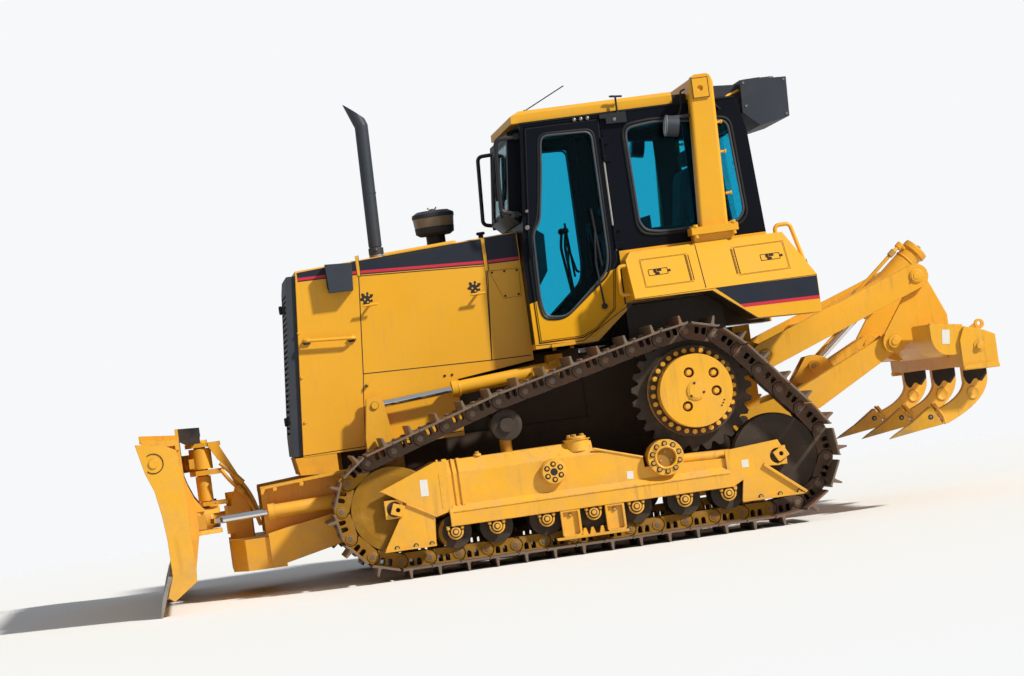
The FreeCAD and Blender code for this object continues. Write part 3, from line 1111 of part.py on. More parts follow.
def upper_link():
    """Upper ripper link: two side plates outside the carriage, a cross tube and the cylinder's trunnion."""
    inner = CARRIAGE_IN + CARRIAGE_THICK + SIDE_GAP
    outer = inner + 44
    side = fuse([
        plate(link_outline(UPPER_FRONT, UPPER_REAR, 92, 84), inner, outer),
        cross_pin(UPPER_FRONT, inner, outer, 92), cross_pin(UPPER_REAR, inner, outer, 84)])
    side = side.cut([cross_pin(UPPER_FRONT, inner - 1, outer + 1, PIN_R + PIN_FIT),
                     cross_pin(UPPER_REAR, inner - 1, outer + 1, PIN_R + PIN_FIT)])
    # The cross tube lies well ahead of the trunnion, clear of the rod, and carries its two cheeks
    spot = toward(UPPER_FRONT, UPPER_REAR, 420)
    beam = rod((spot[0], -inner - 5, spot[1]), (spot[0], inner + 5, spot[1]), 55)
    cheek = fuse([
        plate([(spot[0] - 10, spot[1] + 60), (RIP_TRUNNION[0] + 30, RIP_TRUNNION[1] + 78),
               (RIP_TRUNNION[0] - 60, RIP_TRUNNION[1] + 55), (RIP_TRUNNION[0] - 60, RIP_TRUNNION[1] - 60),
               (spot[0] - 10, spot[1] - 60)], 112, 152),
        cross_pin(RIP_TRUNNION, 112, 152, 82)])
    cheek = cheek.cut(cross_pin(RIP_TRUNNION, 111, 153, 40 + PIN_FIT))
    return fuse(both(side) + [beam] + both(cheek))


def lower_link():
    """Lower ripper link: two box arms inside the carriage plates, a cross plate and the cylinder bracket."""
    inner = CASE_REAR_HALF + 30
    outer = CARRIAGE_IN - SIDE_GAP
    arm = plate([
        (LOWER_REAR[0] + 10, LOWER_REAR[1] + 70), (-799, 858), (LOWER_FRONT[0] - 100, 790), (LOWER_FRONT[0], 780),
        (LOWER_FRONT[0] + 30, 640), (LOWER_FRONT[0] - 200, 640), (-949, 720), (LOWER_REAR[0] + 10, LOWER_REAR[1] - 80)],
        inner, outer)
    side = fuse([arm, cross_pin(LOWER_REAR, inner, outer, 74), cross_pin(LOWER_FRONT, inner, outer, 80)])
    side = side.cut([cross_pin(LOWER_REAR, inner - 1, outer + 1, PIN_R + PIN_FIT),
                     cross_pin(LOWER_FRONT, inner - 1, outer + 1, PIN_R + PIN_FIT)])
    cross = plate([(-790, 850), (-900, 900), (-960, 760), (-850, 700)], -inner - 5, inner + 5)
    bracket = [(-962, 1078), (-1030, 1086), (-1100, 1060), (-1158, 985), (-950, 790), (-850, 780), (-835, 900)]
    ears = [plate(bracket, y, y + 28) for y in (-78, 50)]
    pieces = both(side) + [cross] + ears
    for y in (-104, 78):
        pieces.append(cross_pin(RIP_CYL_PIN, y, y + 26, 34))
    return fuse(pieces)


def carriage():
    """Ripper carriage: two side plates, cross beam with shank pockets and end plates."""
    inner = CARRIAGE_IN
    outer = CARRIAGE_IN + CARRIAGE_THICK
    plate_side = fuse([
        plate([
            (UPPER_REAR[0] + 30, UPPER_REAR[1] + 62), (UPPER_REAR[0] - 50, UPPER_REAR[1] + 52), (-1777, 1545),
            (-1903, 1238), (-1903, 1120), (-1690, 1120), (LOWER_REAR[0] - 40, LOWER_REAR[1] - 60),
            (LOWER_REAR[0] + 50, LOWER_REAR[1] - 40), (LOWER_REAR[0] + 60, LOWER_REAR[1] + 60),
            (UPPER_REAR[0] + 62, UPPER_REAR[1] - 80)], inner, outer),
        cross_pin(LOWER_REAR, inner, outer, 78), cross_pin(UPPER_REAR, inner, outer, 78)])
    upper_pin = cross_pin(UPPER_REAR, inner, outer + SIDE_GAP + 44 + 12, PIN_R)
    lower_pin = cross_pin(LOWER_REAR, CASE_REAR_HALF + 22, outer + 8, PIN_R)
    beam = plate([
        (BEAM_REAR_X + 10, 860), (BEAM_REAR_X + 2, 1055), (-1990, 1090), (-1858, 1134), (-1816, 1056), (-1816, 872)],
        -BEAM_HALF + 24, BEAM_HALF - 24)
    swell = plate([
        (-1860, 1132), (-1715, 1150), (-1704, 1090), (-1722, 1032), (-1754, 986), (-1800, 950), (-1860, 936)], -714, 714)
    shanks_hole = [box(BEAM_REAR_X - 5 + 45, -1838, y - SHANK_THICK / 2 - SEAM, y + SHANK_THICK / 2 + SEAM, 800, 1200)
                   for y in SHANK_Y]
    end = plate([(BEAM_REAR_X, 840), (BEAM_REAR_X, 1060), (-1990, 1096), (-1854, 1138), (-1815, 1050), (-1815, 845)],
                BEAM_HALF - 26, BEAM_HALF)
    gusset = plate([
        (-1715, 1190), (-1932, 1150), (-1940, 960), (-1850, 930), (-1760, 960), (-1716, 1050)], 690, 716)
    lugs = [plate([(-1960, 1085), (-2050, 1060), (-2040, 1120), (-2010, 1150), (-1975, 1130)], y - 12, y + 12)
            for y in (-760, 760)]
    pieces = both(plate_side) + both(upper_pin) + both(lower_pin) + [cut(beam, shanks_hole)]
    pieces += [cut(swell, shanks_hole)] + both(end) + both(gusset) + lugs
    return fuse(pieces)


def shank():
    """One curved ripper shank with its pointed tip."""
    a = SHANK_THICK / 2
    top = 1175
    arc_front = Part.Arc(Vector(-1847, 0, 760), Vector(-1772, 0, 668), Vector(-1610, 0, 600)).toShape()
    arc_rear = Part.Arc(Vector(-1697, 0, 508), Vector(-1930, 0, 640), Vector(-2010, 0, 800)).toShape()
    edges = [
        Part.LineSegment(Vector(-2010, 0, 800), Vector(-2010, 0, top)).toShape(),
        Part.LineSegment(Vector(-2010, 0, top), Vector(-1847, 0, top)).toShape(),
        Part.LineSegment(Vector(-1847, 0, top), Vector(-1847, 0, 760)).toShape(),
        arc_front,
        Part.LineSegment(Vector(-1610, 0, 600), Vector(-1697, 0, 508)).toShape(),
        arc_rear]
    face = Part.Face(Part.Wire(Part.__sortEdges__(edges)))
    blade = face.extrude(Vector(0, SHANK_THICK, 0))
    blade.translate(Vector(0, -a, 0))
    tip = plate([(-1600, 632), (-1660, 508), (-1296, 456), (-1450, 536)], -a - 14, a + 14)
    return fuse([blade, tip])


def shanks():
    one = shank()
    placed = []
    for y in SHANK_Y:
        copy = one.copy()
        copy.translate(Vector(0, y, 0))
        placed.append(copy)
    return placed


def ripper_cylinder():
    """Single ripper cylinder: barrel hung in its trunnion, rod down to the lower link."""
    a = Vector(RIP_CYL_PIN[0], 0, RIP_CYL_PIN[1])
    t = Vector(RIP_TRUNNION[0], 0, RIP_TRUNNION[1])
    unit = (t - a).normalize()
    reach = (t - a).Length
    start = reach - 210
    end = reach + 400
    barrel = Part.makeCylinder(78, end - start, a + unit * start, unit)
    barrel = barrel.cut(Part.makeCylinder(62, end - start - 60, a + unit * (start + 20), unit))
    barrel = barrel.cut(Part.makeCylinder(34 + PIN_FIT, 60, a + unit * (start - 10), unit))
    cap = Part.makeCylinder(88, 40, a + unit * (end - 40), unit)
    collar = Part.makeCylinder(92, 110, t - unit * 55, unit).cut(Part.makeCylinder(70, 130, t - unit * 65, unit))
    arms = cross_pin(RIP_TRUNNION, -158, 158, 40).cut(Part.makeCylinder(64, 200, t - unit * 100, unit))
    body = fuse([barrel, cap, collar, arms])
    shaft = Part.makeCylinder(34, start + 130 - 20, a + unit * 20, unit)
    eye = Part.makeCylinder(58, 84, a - Vector(0, 42, 0), Vector(0, 1, 0))
    return body, fuse([shaft, eye])


def main():
    os.makedirs(OUT, exist_ok=True)
    save("main_frame", main_frame())
    save("engine_block", engine())
    save("rear_case", rear_case())
    save("hood", hood())
    save("grille", grille())
    panel = plate(PANEL, HOOD_HALF - HOOD_WALL, HOOD_HALF)
    save_pair("side_panel", panel)
    save("exhaust_stack", stack())
    save("precleaner", cleaner())
    save("cab_floor", cab_tub())
    save("cab_frame", cab_frame())
    save("cab_roof", cab_roof())
    save("cab_glass", cab_glass())
    save_pair("cab_door", door())
    save_pair("door_glass", door_glass())
    save("console", console() + seat_frame())
    save("seat", seat())
    save("fuel_tank", fuel_tank())
    save_pair("fender", fender())
    for name, front, rear, hinge in LIDS:
        save_pair("locker_lid_" + name, lid(front, rear, hinge))
    save("rollover_frame", rops())
    save("air_conditioner", air_box())
    save("work_lamps", lamps())
    save("grab_rails", rails())
    save_pair("track_frame", track_frame())
    save_pair("rollers", rollers())
    save_pair("sprocket", sprocket())
    save_pair("hub_cover", hub_cover())
    save_pair("track", track())
    save("c_frame", c_frame())
    save("blade_yoke", blade_yoke())
    save("moldboard", moldboard())
    save("cutting_edge", cutting_edge())
    barrel, shaft = lift_cylinder()
    save_pair("lift_barrel", barrel)
    save_pair("lift_rod", shaft)
    barrel, shaft = angle_cylinder()
    save_pair("angle_barrel", barrel)
    save_pair("angle_rod", shaft)
    barrel, shaft = tilt_cylinder()
    save("tilt_barrel", barrel)
    save("tilt_rod", shaft)
    save("ripper_upper_link", upper_link())
    save("ripper_lower_link", lower_link())
    save("ripper_carriage", carriage())
    save("ripper_shanks", shanks())
    barrel, shaft = ripper_cylinder()
    save("ripper_barrel", barrel)
    save("ripper_rod", shaft)


main()
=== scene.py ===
"""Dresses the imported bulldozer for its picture: finishes, track chains, trim, seat, light and camera.

The file is laid out as an add-on, one operator for each group of pieces, and is run as a script.
Places in the code are the design's own millimetres: X forward from the sprocket axle, Y to the
machine's left and Z up from the ground. place() turns them into the frame's metres.
"""
import json
import math

import bmesh
import bpy
from mathutils import Matrix, Vector
from mathutils.geometry import tessellate_polygon

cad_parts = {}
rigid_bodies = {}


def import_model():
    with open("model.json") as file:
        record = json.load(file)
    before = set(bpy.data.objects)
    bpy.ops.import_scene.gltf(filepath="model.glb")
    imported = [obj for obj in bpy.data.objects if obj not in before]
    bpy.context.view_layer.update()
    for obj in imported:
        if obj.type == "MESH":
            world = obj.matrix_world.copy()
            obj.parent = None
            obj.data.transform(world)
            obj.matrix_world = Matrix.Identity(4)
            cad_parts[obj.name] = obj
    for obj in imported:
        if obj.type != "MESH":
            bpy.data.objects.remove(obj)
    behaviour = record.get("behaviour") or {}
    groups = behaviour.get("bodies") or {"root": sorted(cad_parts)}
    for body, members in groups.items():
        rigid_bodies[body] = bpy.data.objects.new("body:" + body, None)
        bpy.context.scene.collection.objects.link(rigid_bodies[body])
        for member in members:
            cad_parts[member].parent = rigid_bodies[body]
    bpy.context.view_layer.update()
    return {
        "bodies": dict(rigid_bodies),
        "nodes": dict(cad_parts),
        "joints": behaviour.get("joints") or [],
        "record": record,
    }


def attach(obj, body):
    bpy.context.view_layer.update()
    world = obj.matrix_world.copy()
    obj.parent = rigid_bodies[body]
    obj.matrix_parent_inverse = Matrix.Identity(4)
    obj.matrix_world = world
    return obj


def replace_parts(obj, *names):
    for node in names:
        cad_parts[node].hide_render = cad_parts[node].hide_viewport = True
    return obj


bl_info = {
    "name": "Bulldozer dressing",
    "version": (1, 0, 0),
    "blender": (4, 5, 0),
    "location": "3D View > Sidebar > Bulldozer",
    "description": "Finishes, track chains, trim and studio for a packed bulldozer",
    "category": "Object",
}

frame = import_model()

# Driving sizes of the part, in millimetres
CENTRE_X = 812.0
TRACK_Y = 945.0
TRACK_HALF = 280.0
LINK_PITCH = 190.0
PIN_HEIGHT = 115.0
SHOE_FACE = 58.0
SHOE_ROOT = 46.0
RAIL_DEPTH = 51.0
GROUSER_TIP = 115.0
CHORD_DROP = 8.0
IDLERS_X = (2074.0, -486.0)
IDLER_Z = 460.0
CARRIER = (1262.0, 905.0, 103.0)
SPROCKET = (0.0, 960.0, 397.0)
ROLLER_X = (1696.0, 1421.0, 1090.0, 777.0, 491.0, 165.0, -130.0)
ROLLER_Z = 259.0
HOOD_Y = 510.0
DOOR_Y = 730.0
CAB_Y = 722.0
SIDES = (("left", 1), ("right", -1))

LOOKS = {}


def place(x, y, z):
    """A point of the design, in the frame's metres."""
    return Vector(((x - CENTRE_X) / 1000, y / 1000, z / 1000))


# Geometry by hand
def rounded(points, radius, steps=4):
    """The closed 2-D outline with each corner rounded."""
    out = []
    count = len(points)
    for i in range(count):
        corner = Vector(points[i])
        before = Vector(points[i - 1]) - corner
        after = Vector(points[(i + 1) % count]) - corner
        reach = min(radius, before.length * 0.45, after.length * 0.45)
        a = corner + before.normalized() * reach
        b = corner + after.normalized() * reach
        for k in range(steps + 1):
            t = k / steps
            p = a * (1 - t) ** 2 + corner * 2 * t * (1 - t) + b * t ** 2
            out.append((p.x, p.y))
    return out


def circle(x, z, radius, count=16, start=0.0, turn=360.0):
    """Points on a circle or, with less than a full turn, on an arc with both its ends."""
    full = turn >= 360.0
    steps = count if full else count - 1
    return [(x + radius * math.cos(math.radians(start + turn * k / steps)),
             z + radius * math.sin(math.radians(start + turn * k / steps))) for k in range(count)]


def smooth_path(points, bend, closed=False):
    """The 3-D polyline with its corners rounded."""
    points = [Vector(p) for p in points]
    count = len(points)
    out = []
    for i in range(count):
        if not closed and i in (0, count - 1):
            out.append(points[i])
            continue
        corner = points[i]
        before = points[i - 1] - corner
        after = points[(i + 1) % count] - corner
        reach = min(bend, before.length * 0.45, after.length * 0.45)
        a = corner + before.normalized() * reach
        b = corner + after.normalized() * reach
        for k in range(5):
            t = k / 4
            out.append(a * (1 - t) ** 2 + corner * 2 * t * (1 - t) + b * t ** 2)
    return out


class Piece:
    """Collects the faces of one object, each with the finish it shows."""

    def __init__(self, side=1):
        self.side = side
        self.verts = []
        self.faces = []
        self.looks = []
        self.names = []

    def add(self, points, faces, look):
        """Take faces over design points, mirrored when the piece is on the right side."""
        if look not in self.names:
            self.names.append(look)
        start = len(self.verts)
        self.verts += [place(p[0], p[1] * self.side, p[2]) for p in points]
        self.faces += [[start + i for i in face] for face in faces]
        self.looks += [self.names.index(look)] * len(faces)

    def prism(self, outline, origin, u, v, w, depth, look, holes=()):
        """A flat outline in the axes u and v from origin, made thick along w."""
        origin, u, v, w = Vector(origin), Vector(u), Vector(v), Vector(w)
        loops = [list(outline)] + [list(hole) for hole in holes]
        flat = [p for loop in loops for p in loop]
        count = len(flat)
        points = [origin + u * p[0] + v * p[1] for p in flat]
        points += [p + w * depth for p in points]
        faces = []
        for tri in tessellate_polygon([[Vector((p[0], p[1], 0)) for p in loop] for loop in loops]):
            faces.append(list(tri))
            faces.append([i + count for i in reversed(tri)])
        start = 0
        for loop in loops:
            size = len(loop)
            for i in range(size):
                a = start + i
                b = start + (i + 1) % size
                faces.append([a, b, b + count, a + count])
            start += size
        self.add(points, faces, look)

    def side_plate(self, outline, y0, y1, look, holes=()):
        """An outline of (x, z) points between two distances from the middle plane."""
        self.prism(outline, (0, y0, 0), (1, 0, 0), (0, 0, 1), (0, 1, 0), y1 - y0, look, holes)

    def box(self, x0, x1, y0, y1, z0, z1, look, round_by=0.0):
        outline = [(x0, z0), (x1, z0), (x1, z1), (x0, z1)]
        self.side_plate(rounded(outline, round_by, 3) if round_by else outline, y0, y1, look)

    def drum(self, start, end, radius, look, sides=18, chamfer=0.0, end_radius=None):
        """A round bar with chamfered ends."""
        a, b = Vector(start), Vector(end)
        axis = (b - a).normalized()
        u = axis.orthogonal().normalized()
        v = axis.cross(u)
        last = radius if end_radius is None else end_radius
        rings = [(a, radius - chamfer)]
        if chamfer:
            rings += [(a + axis * chamfer, radius), (b - axis * chamfer, last)]
        rings.append((b, last - chamfer))
        points = []
        for centre, r in rings:
            for k in range(sides):
                angle = 2 * math.pi * k / sides
                points.append(centre + (u * math.cos(angle) + v * math.sin(angle)) * r)
        faces = [list(range(sides))[::-1]]
        for ring in range(len(rings) - 1):
            for k in range(sides):
                n = (k + 1) % sides
                faces.append([ring * sides + k, ring * sides + n, (ring + 1) * sides + n, (ring + 1) * sides + k])
        faces.append([(len(rings) - 1) * sides + k for k in range(sides)])
        self.add(points, faces, look)

    def pipe(self, points, radius, look, bend=20.0, sides=10, closed=False):
        """A round tube along a line with rounded corners."""
        line = smooth_path(points, bend, closed)
        count = len(line)
        rings = []
        normal = None
        for i in range(count):
            if closed:
                ahead = (line[(i + 1) % count] - line[i - 1]).normalized()
            else:
                ahead = (line[min(i + 1, count - 1)] - line[max(i - 1, 0)]).normalized()
            normal = ahead.orthogonal() if normal is None else normal - ahead * normal.dot(ahead)
            normal.normalize()
            across = ahead.cross(normal)
            rings += [line[i] + (normal * math.cos(2 * math.pi * k / sides)
                                 + across * math.sin(2 * math.pi * k / sides)) * radius for k in range(sides)]
        faces = []
        for i in range(count if closed else count - 1):
            j = (i + 1) % count
            for k in range(sides):
                n = (k + 1) % sides
                faces.append([i * sides + k, i * sides + n, j * sides + n, j * sides + k])
        if not closed:
            faces.append(list(range(sides))[::-1])
            faces.append([(count - 1) * sides + k for k in range(sides)])
        self.add(rings, faces, look)

    def bead(self, outline, y, radius, look, bend=40.0):
        """A closed round bead along an (x, z) outline."""
        self.pipe([(x, y, z) for x, z in outline], radius, look, bend, 8, True)

    def bolt(self, at, axis, size, look="bolt", washer=True):
        """A hexagon head on a washer; size is across its flats."""
        at, axis = Vector(at), Vector(axis).normalized()
        if washer:
            self.drum(at, at + axis * size * 0.12, size * 0.72, look, 12)
        self.drum(at + axis * size * 0.1, at + axis * size * 0.62, size * 0.577, look, 6, size * 0.06)

    def dish(self, at, axis, radius, height, look="yellow_working", sides=28):
        """A round boss with a hollow in its face."""
        at, axis = Vector(at), Vector(axis).normalized()
        u = axis.orthogonal().normalized()
        v = axis.cross(u)
        steps = ((1.0, 0.0), (0.94, 1.0), (0.86, 1.0), (0.62, 0.42), (0.3, 0.1))
        points = [at + (u * math.cos(2 * math.pi * k / sides) + v * math.sin(2 * math.pi * k / sides)) * radius * share
                  + axis * height * up for share, up in steps for k in range(sides)]
        points.append(at + axis * height * 0.02)
        faces = [[i * sides + k, i * sides + (k + 1) % sides, (i + 1) * sides + (k + 1) % sides, (i + 1) * sides + k]
                 for i in range(len(steps) - 1) for k in range(sides)]
        last = (len(steps) - 1) * sides
        faces += [[last + k, last + (k + 1) % sides, last + sides] for k in range(sides)]
        self.add(points, faces, look)

    def ball(self, at, radius, look, sides=12):
        points = []
        rows = sides // 2
        for i in range(1, rows):
            for k in range(sides):
                a, b = math.pi * i / rows, 2 * math.pi * k / sides
                points.append((at[0] + radius * math.sin(a) * math.cos(b), at[1] + radius * math.sin(a) * math.sin(b),
                               at[2] + radius * math.cos(a)))
        points += [(at[0], at[1], at[2] + radius), (at[0], at[1], at[2] - radius)]
        top, low = len(points) - 2, len(points) - 1
        faces = []
        for k in range(sides):
            n = (k + 1) % sides
            faces.append([top, k, n])
            faces.append([low, (rows - 2) * sides + n, (rows - 2) * sides + k])
            for i in range(rows - 2):
                faces.append([i * sides + k, (i + 1) * sides + k, (i + 1) * sides + n, i * sides + n])
        self.add(points, faces, look)

    def strip(self, points, width, y, look, closed=False, lift=1.0):
        """A thin flat line along (x, z) points on a side plane."""
        ends = list(zip(points, points[1:] + (points[:1] if closed else [])))
        for a, b in ends:
            d = (Vector(b) - Vector(a)).normalized()
            n = Vector((-d.y, d.x)) * width / 2
            a2, b2 = Vector(a) - d * width / 2, Vector(b) + d * width / 2
            self.side_plate([tuple(a2 + n), tuple(b2 + n), tuple(b2 - n), tuple(a2 - n)], y - 0.5, y + lift, look)

    def make(self, name, body, slot, *replaced):
        """Build the object and set it on its body; the slot argument is not used."""
        mesh = bpy.data.meshes.new(name)
        mesh.from_pydata([tuple(v) for v in self.verts], [], self.faces)
        work = bmesh.new()
        work.from_mesh(mesh)
        for face, look in zip(work.faces, self.looks):
            face.material_index = look
            face.smooth = True
        bmesh.ops.recalc_face_normals(work, faces=work.faces)
        work.to_mesh(mesh)
        work.free()
        mesh.set_sharp_from_angle(angle=math.radians(33))
        for look in self.names:
            mesh.materials.append(LOOKS[look])
        piece = bpy.data.objects.new(name, mesh)
        bpy.context.scene.collection.objects.link(piece)
        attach(piece, body)
        if replaced:
            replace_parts(piece, *replaced)
        return piece


# Shader building
class Graph:
    """Adds nodes to a tree and joins them."""

    def __init__(self, tree):
        self.tree = tree
        self.column = 0

    def node(self, kind, **values):
        made = self.tree.nodes.new(kind)
        made.location = (self.column * 190, 0)
        self.column += 1
        for key, value in values.items():
            setattr(made, key, value)
        return made

    def set(self, socket, value):
        if isinstance(value, bpy.types.NodeSocket):
            self.tree.links.new(value, socket)
        elif isinstance(value, tuple) and len(value) == 3 and socket.type == "RGBA":
            socket.default_value = (*value, 1.0)
        else:
            socket.default_value = value

    def math(self, operation, a, b=0.0, clamp=False):
        made = self.node("ShaderNodeMath", operation=operation, use_clamp=clamp)
        self.set(made.inputs[0], a)
        self.set(made.inputs[1], b)
        return made.outputs[0]

    def span(self, value, low, high, out_low=0.0, out_high=1.0):
        made = self.node("ShaderNodeMapRange", clamp=True)
        for socket, number in zip(made.inputs[:5], (value, low, high, out_low, out_high)):
            self.set(socket, number)
        return made.outputs[0]

    def noise(self, vector, scale, detail=4.0, rough=0.6):
        made = self.node("ShaderNodeTexNoise")
        self.set(made.inputs["Vector"], vector)
        self.set(made.inputs["Scale"], scale)
        self.set(made.inputs["Detail"], detail)
        self.set(made.inputs["Roughness"], rough)
        return made.outputs[0]

    def mix(self, share, a, b, kind="MIX"):
        made = self.node("ShaderNodeMix", data_type="RGBA", blend_type=kind)
        self.set(made.inputs[0], share)
        self.set(made.inputs[6], a)
        self.set(made.inputs[7], b)
        return made.outputs[2]

    def stretched(self, vector, scale):
        made = self.node("ShaderNodeMapping")
        self.set(made.inputs[0], vector)
        made.inputs[3].default_value = scale
        return made.outputs[0]

    def parts(self, vector):
        made = self.node("ShaderNodeSeparateXYZ")
        self.set(made.inputs[0], vector)
        return made.outputs


def effect(name, takes, gives):
    """A shader node group with named sockets, and the graph, the input node's sockets and the output node."""
    tree = bpy.data.node_groups.new(name, "ShaderNodeTree")
    kinds = {"value": "NodeSocketFloat", "colour": "NodeSocketColor", "vector": "NodeSocketVector"}
    for label, kind in takes:
        tree.interface.new_socket(label, in_out="INPUT", socket_type=kinds[kind])
    for label, kind in gives:
        tree.interface.new_socket(label, in_out="OUTPUT", socket_type=kinds[kind])
    graph = Graph(tree)
    start = graph.node("NodeGroupInput")
    end = tree.nodes.new("NodeGroupOutput")
    end.location = (3600, 0)
    return tree, graph, start.outputs, end.inputs


def edge_wear_effect():
    tree, g, take, give = effect("Edge wear", [("Rounded Normal", "vector"), ("Amount", "value"), ("Scale", "value")],
                                 [("Mask", "value")])
    shape = g.node("ShaderNodeNewGeometry")
    where = g.node("ShaderNodeTexCoord").outputs["Object"]
    dot = g.node("ShaderNodeVectorMath", operation="DOT_PRODUCT")
    g.set(dot.inputs[0], take["Rounded Normal"])
    g.set(dot.inputs[1], shape.outputs["Normal"])
    edge = g.span(g.math("SUBTRACT", 1.0, dot.outputs["Value"]), 0.012, 0.12)
    broken = g.span(g.noise(where, take["Scale"], 6.0, 0.7), 0.46, 0.62)
    g.set(give["Mask"], g.math("MULTIPLY", g.math("MULTIPLY", edge, broken), take["Amount"], True))
    return tree


def dust_effect():
    tree, g, take, give = effect("Settled dust", [("Amount", "value"), ("Scale", "value")], [("Mask", "value")])
    coords = g.node("ShaderNodeTexCoord")
    up = g.parts(coords.outputs["Normal"])["Z"]
    height = g.parts(coords.outputs["Object"])["Z"]
    lying = g.span(up, 0.15, 0.95, 0.0, 0.75)
    low = g.span(height, 0.1, 1.3, 0.55, 0.0)
    cloud = g.span(g.noise(coords.outputs["Object"], take["Scale"], 7.0, 0.68), 0.34, 0.72)
    sum_ = g.math("ADD", g.math("ADD", lying, low), 0.16)
    g.set(give["Mask"], g.math("MULTIPLY", g.math("MULTIPLY", sum_, cloud), take["Amount"], True))
    return tree


def streak_effect():
    tree, g, take, give = effect("Rain streaks", [("Amount", "value")], [("Mask", "value")])
    where = g.node("ShaderNodeTexCoord").outputs["Object"]
    runs = g.noise(g.stretched(where, (26.0, 26.0, 1.6)), 1.0, 5.0, 0.65)
    patch = g.span(g.noise(where, 2.2, 3.0), 0.42, 0.66)
    g.set(give["Mask"], g.math("MULTIPLY", g.math("MULTIPLY", g.span(runs, 0.53, 0.72), patch), take["Amount"], True))
    return tree


def mottle_effect():
    tree, g, take, give = effect("Colour drift", [("Color", "colour"), ("Amount", "value"), ("Scale", "value")],
                                 [("Color", "colour")])
    where = g.node("ShaderNodeTexCoord").outputs["Object"]
    wide = g.noise(where, take["Scale"], 3.0)
    fine = g.noise(where, g.math("MULTIPLY", take["Scale"], 22.0), 5.0, 0.7)
    both = g.math("ADD", g.math("MULTIPLY", wide, 0.65), g.math("MULTIPLY", fine, 0.35))
    tone = g.node("ShaderNodeHueSaturation")
    swing = g.math("MULTIPLY", g.math("SUBTRACT", both, 0.5), take["Amount"])
    g.set(tone.inputs["Value"], g.math("ADD", 1.0, swing))
    g.set(tone.inputs["Saturation"], g.math("SUBTRACT", 1.0, g.math("MULTIPLY", swing, 0.35)))
    g.set(tone.inputs["Color"], take["Color"])
    g.set(give["Color"], tone.outputs[0])
    return tree


def rust_effect():
    tree, g, take, give = effect("Rust and scale", [("Metal", "colour"), ("Rust", "colour"), ("Amount", "value"),
                                                    ("Scale", "value")],
                                 [("Color", "colour"), ("Mask", "value"), ("Height", "value")])
    where = g.node("ShaderNodeTexCoord").outputs["Object"]
    cloud = g.noise(where, take["Scale"], 8.0, 0.72)
    fine = g.noise(where, g.math("MULTIPLY", take["Scale"], 9.0), 6.0, 0.7)
    low = g.math("SUBTRACT", 0.78, g.math("MULTIPLY", take["Amount"], 0.6))
    mask = g.span(cloud, low, g.math("ADD", low, 0.16))
    dark = g.mix(g.span(fine, 0.35, 0.7), take["Rust"], (0.05, 0.022, 0.012), "MIX")
    shade = g.mix(0.45, take["Rust"], dark)
    g.set(give["Color"], g.mix(mask, take["Metal"], shade))
    g.set(give["Mask"], mask)
    g.set(give["Height"], g.math("ADD", g.math("MULTIPLY", fine, 0.5), g.math("MULTIPLY", mask, 0.5)))
    return tree


def box_zone_effect():
    tree, g, take, give = effect("Box zone", [("Low", "vector"), ("High", "vector")], [("Mask", "value")])
    spot = g.parts(g.node("ShaderNodeTexCoord").outputs["Object"])
    low, high = g.parts(take["Low"]), g.parts(take["High"])
    mask = 1.0
    for axis in "XYZ":
        value = g.math("ABSOLUTE", spot[axis]) if axis == "Y" else spot[axis]
        inside = g.math("MULTIPLY", g.math("GREATER_THAN", value, low[axis]), g.math("LESS_THAN", value, high[axis]))
        mask = g.math("MULTIPLY", inside, mask)
    g.set(give["Mask"], mask)
    return tree


def under_line_effect():
    tree, g, take, give = effect("Under a line", [("Height", "value"), ("Rise", "value")], [("Mask", "value")])
    spot = g.parts(g.node("ShaderNodeTexCoord").outputs["Object"])
    line = g.math("ADD", take["Height"], g.math("MULTIPLY", take["Rise"], spot["X"]))
    g.set(give["Mask"], g.math("LESS_THAN", spot["Z"], line))
    return tree


def grain_effect():
    tree, g, take, give = effect("Surface grain", [("Scale", "value")], [("Height", "value")])
    where = g.node("ShaderNodeTexCoord").outputs["Object"]
    fine = g.noise(where, take["Scale"], 3.0, 0.5)
    wide = g.noise(where, g.math("MULTIPLY", take["Scale"], 0.06), 2.0, 0.5)
    g.set(give["Height"], g.math("ADD", g.math("MULTIPLY", fine, 0.4), wide))
    return tree


def weave_effect():
    tree, g, take, give = effect("Cloth weave", [("Scale", "value")], [("Mask", "value"), ("Height", "value")])
    where = g.node("ShaderNodeTexCoord").outputs["Object"]
    waves = []
    for direction in ("X", "Y", "Z"):
        wave = g.node("ShaderNodeTexWave", wave_type="BANDS", bands_direction=direction)
        g.set(wave.inputs["Vector"], where)
        g.set(wave.inputs["Scale"], take["Scale"])
        wave.inputs["Distortion"].default_value = 0.6
        waves.append(wave.outputs[1])
    cross = g.math("MULTIPLY", g.math("ADD", waves[0], waves[2]), g.math("ADD", waves[1], 0.4))
    g.set(give["Mask"], g.span(cross, 0.2, 1.6))
    g.set(give["Height"], cross)
    return tree


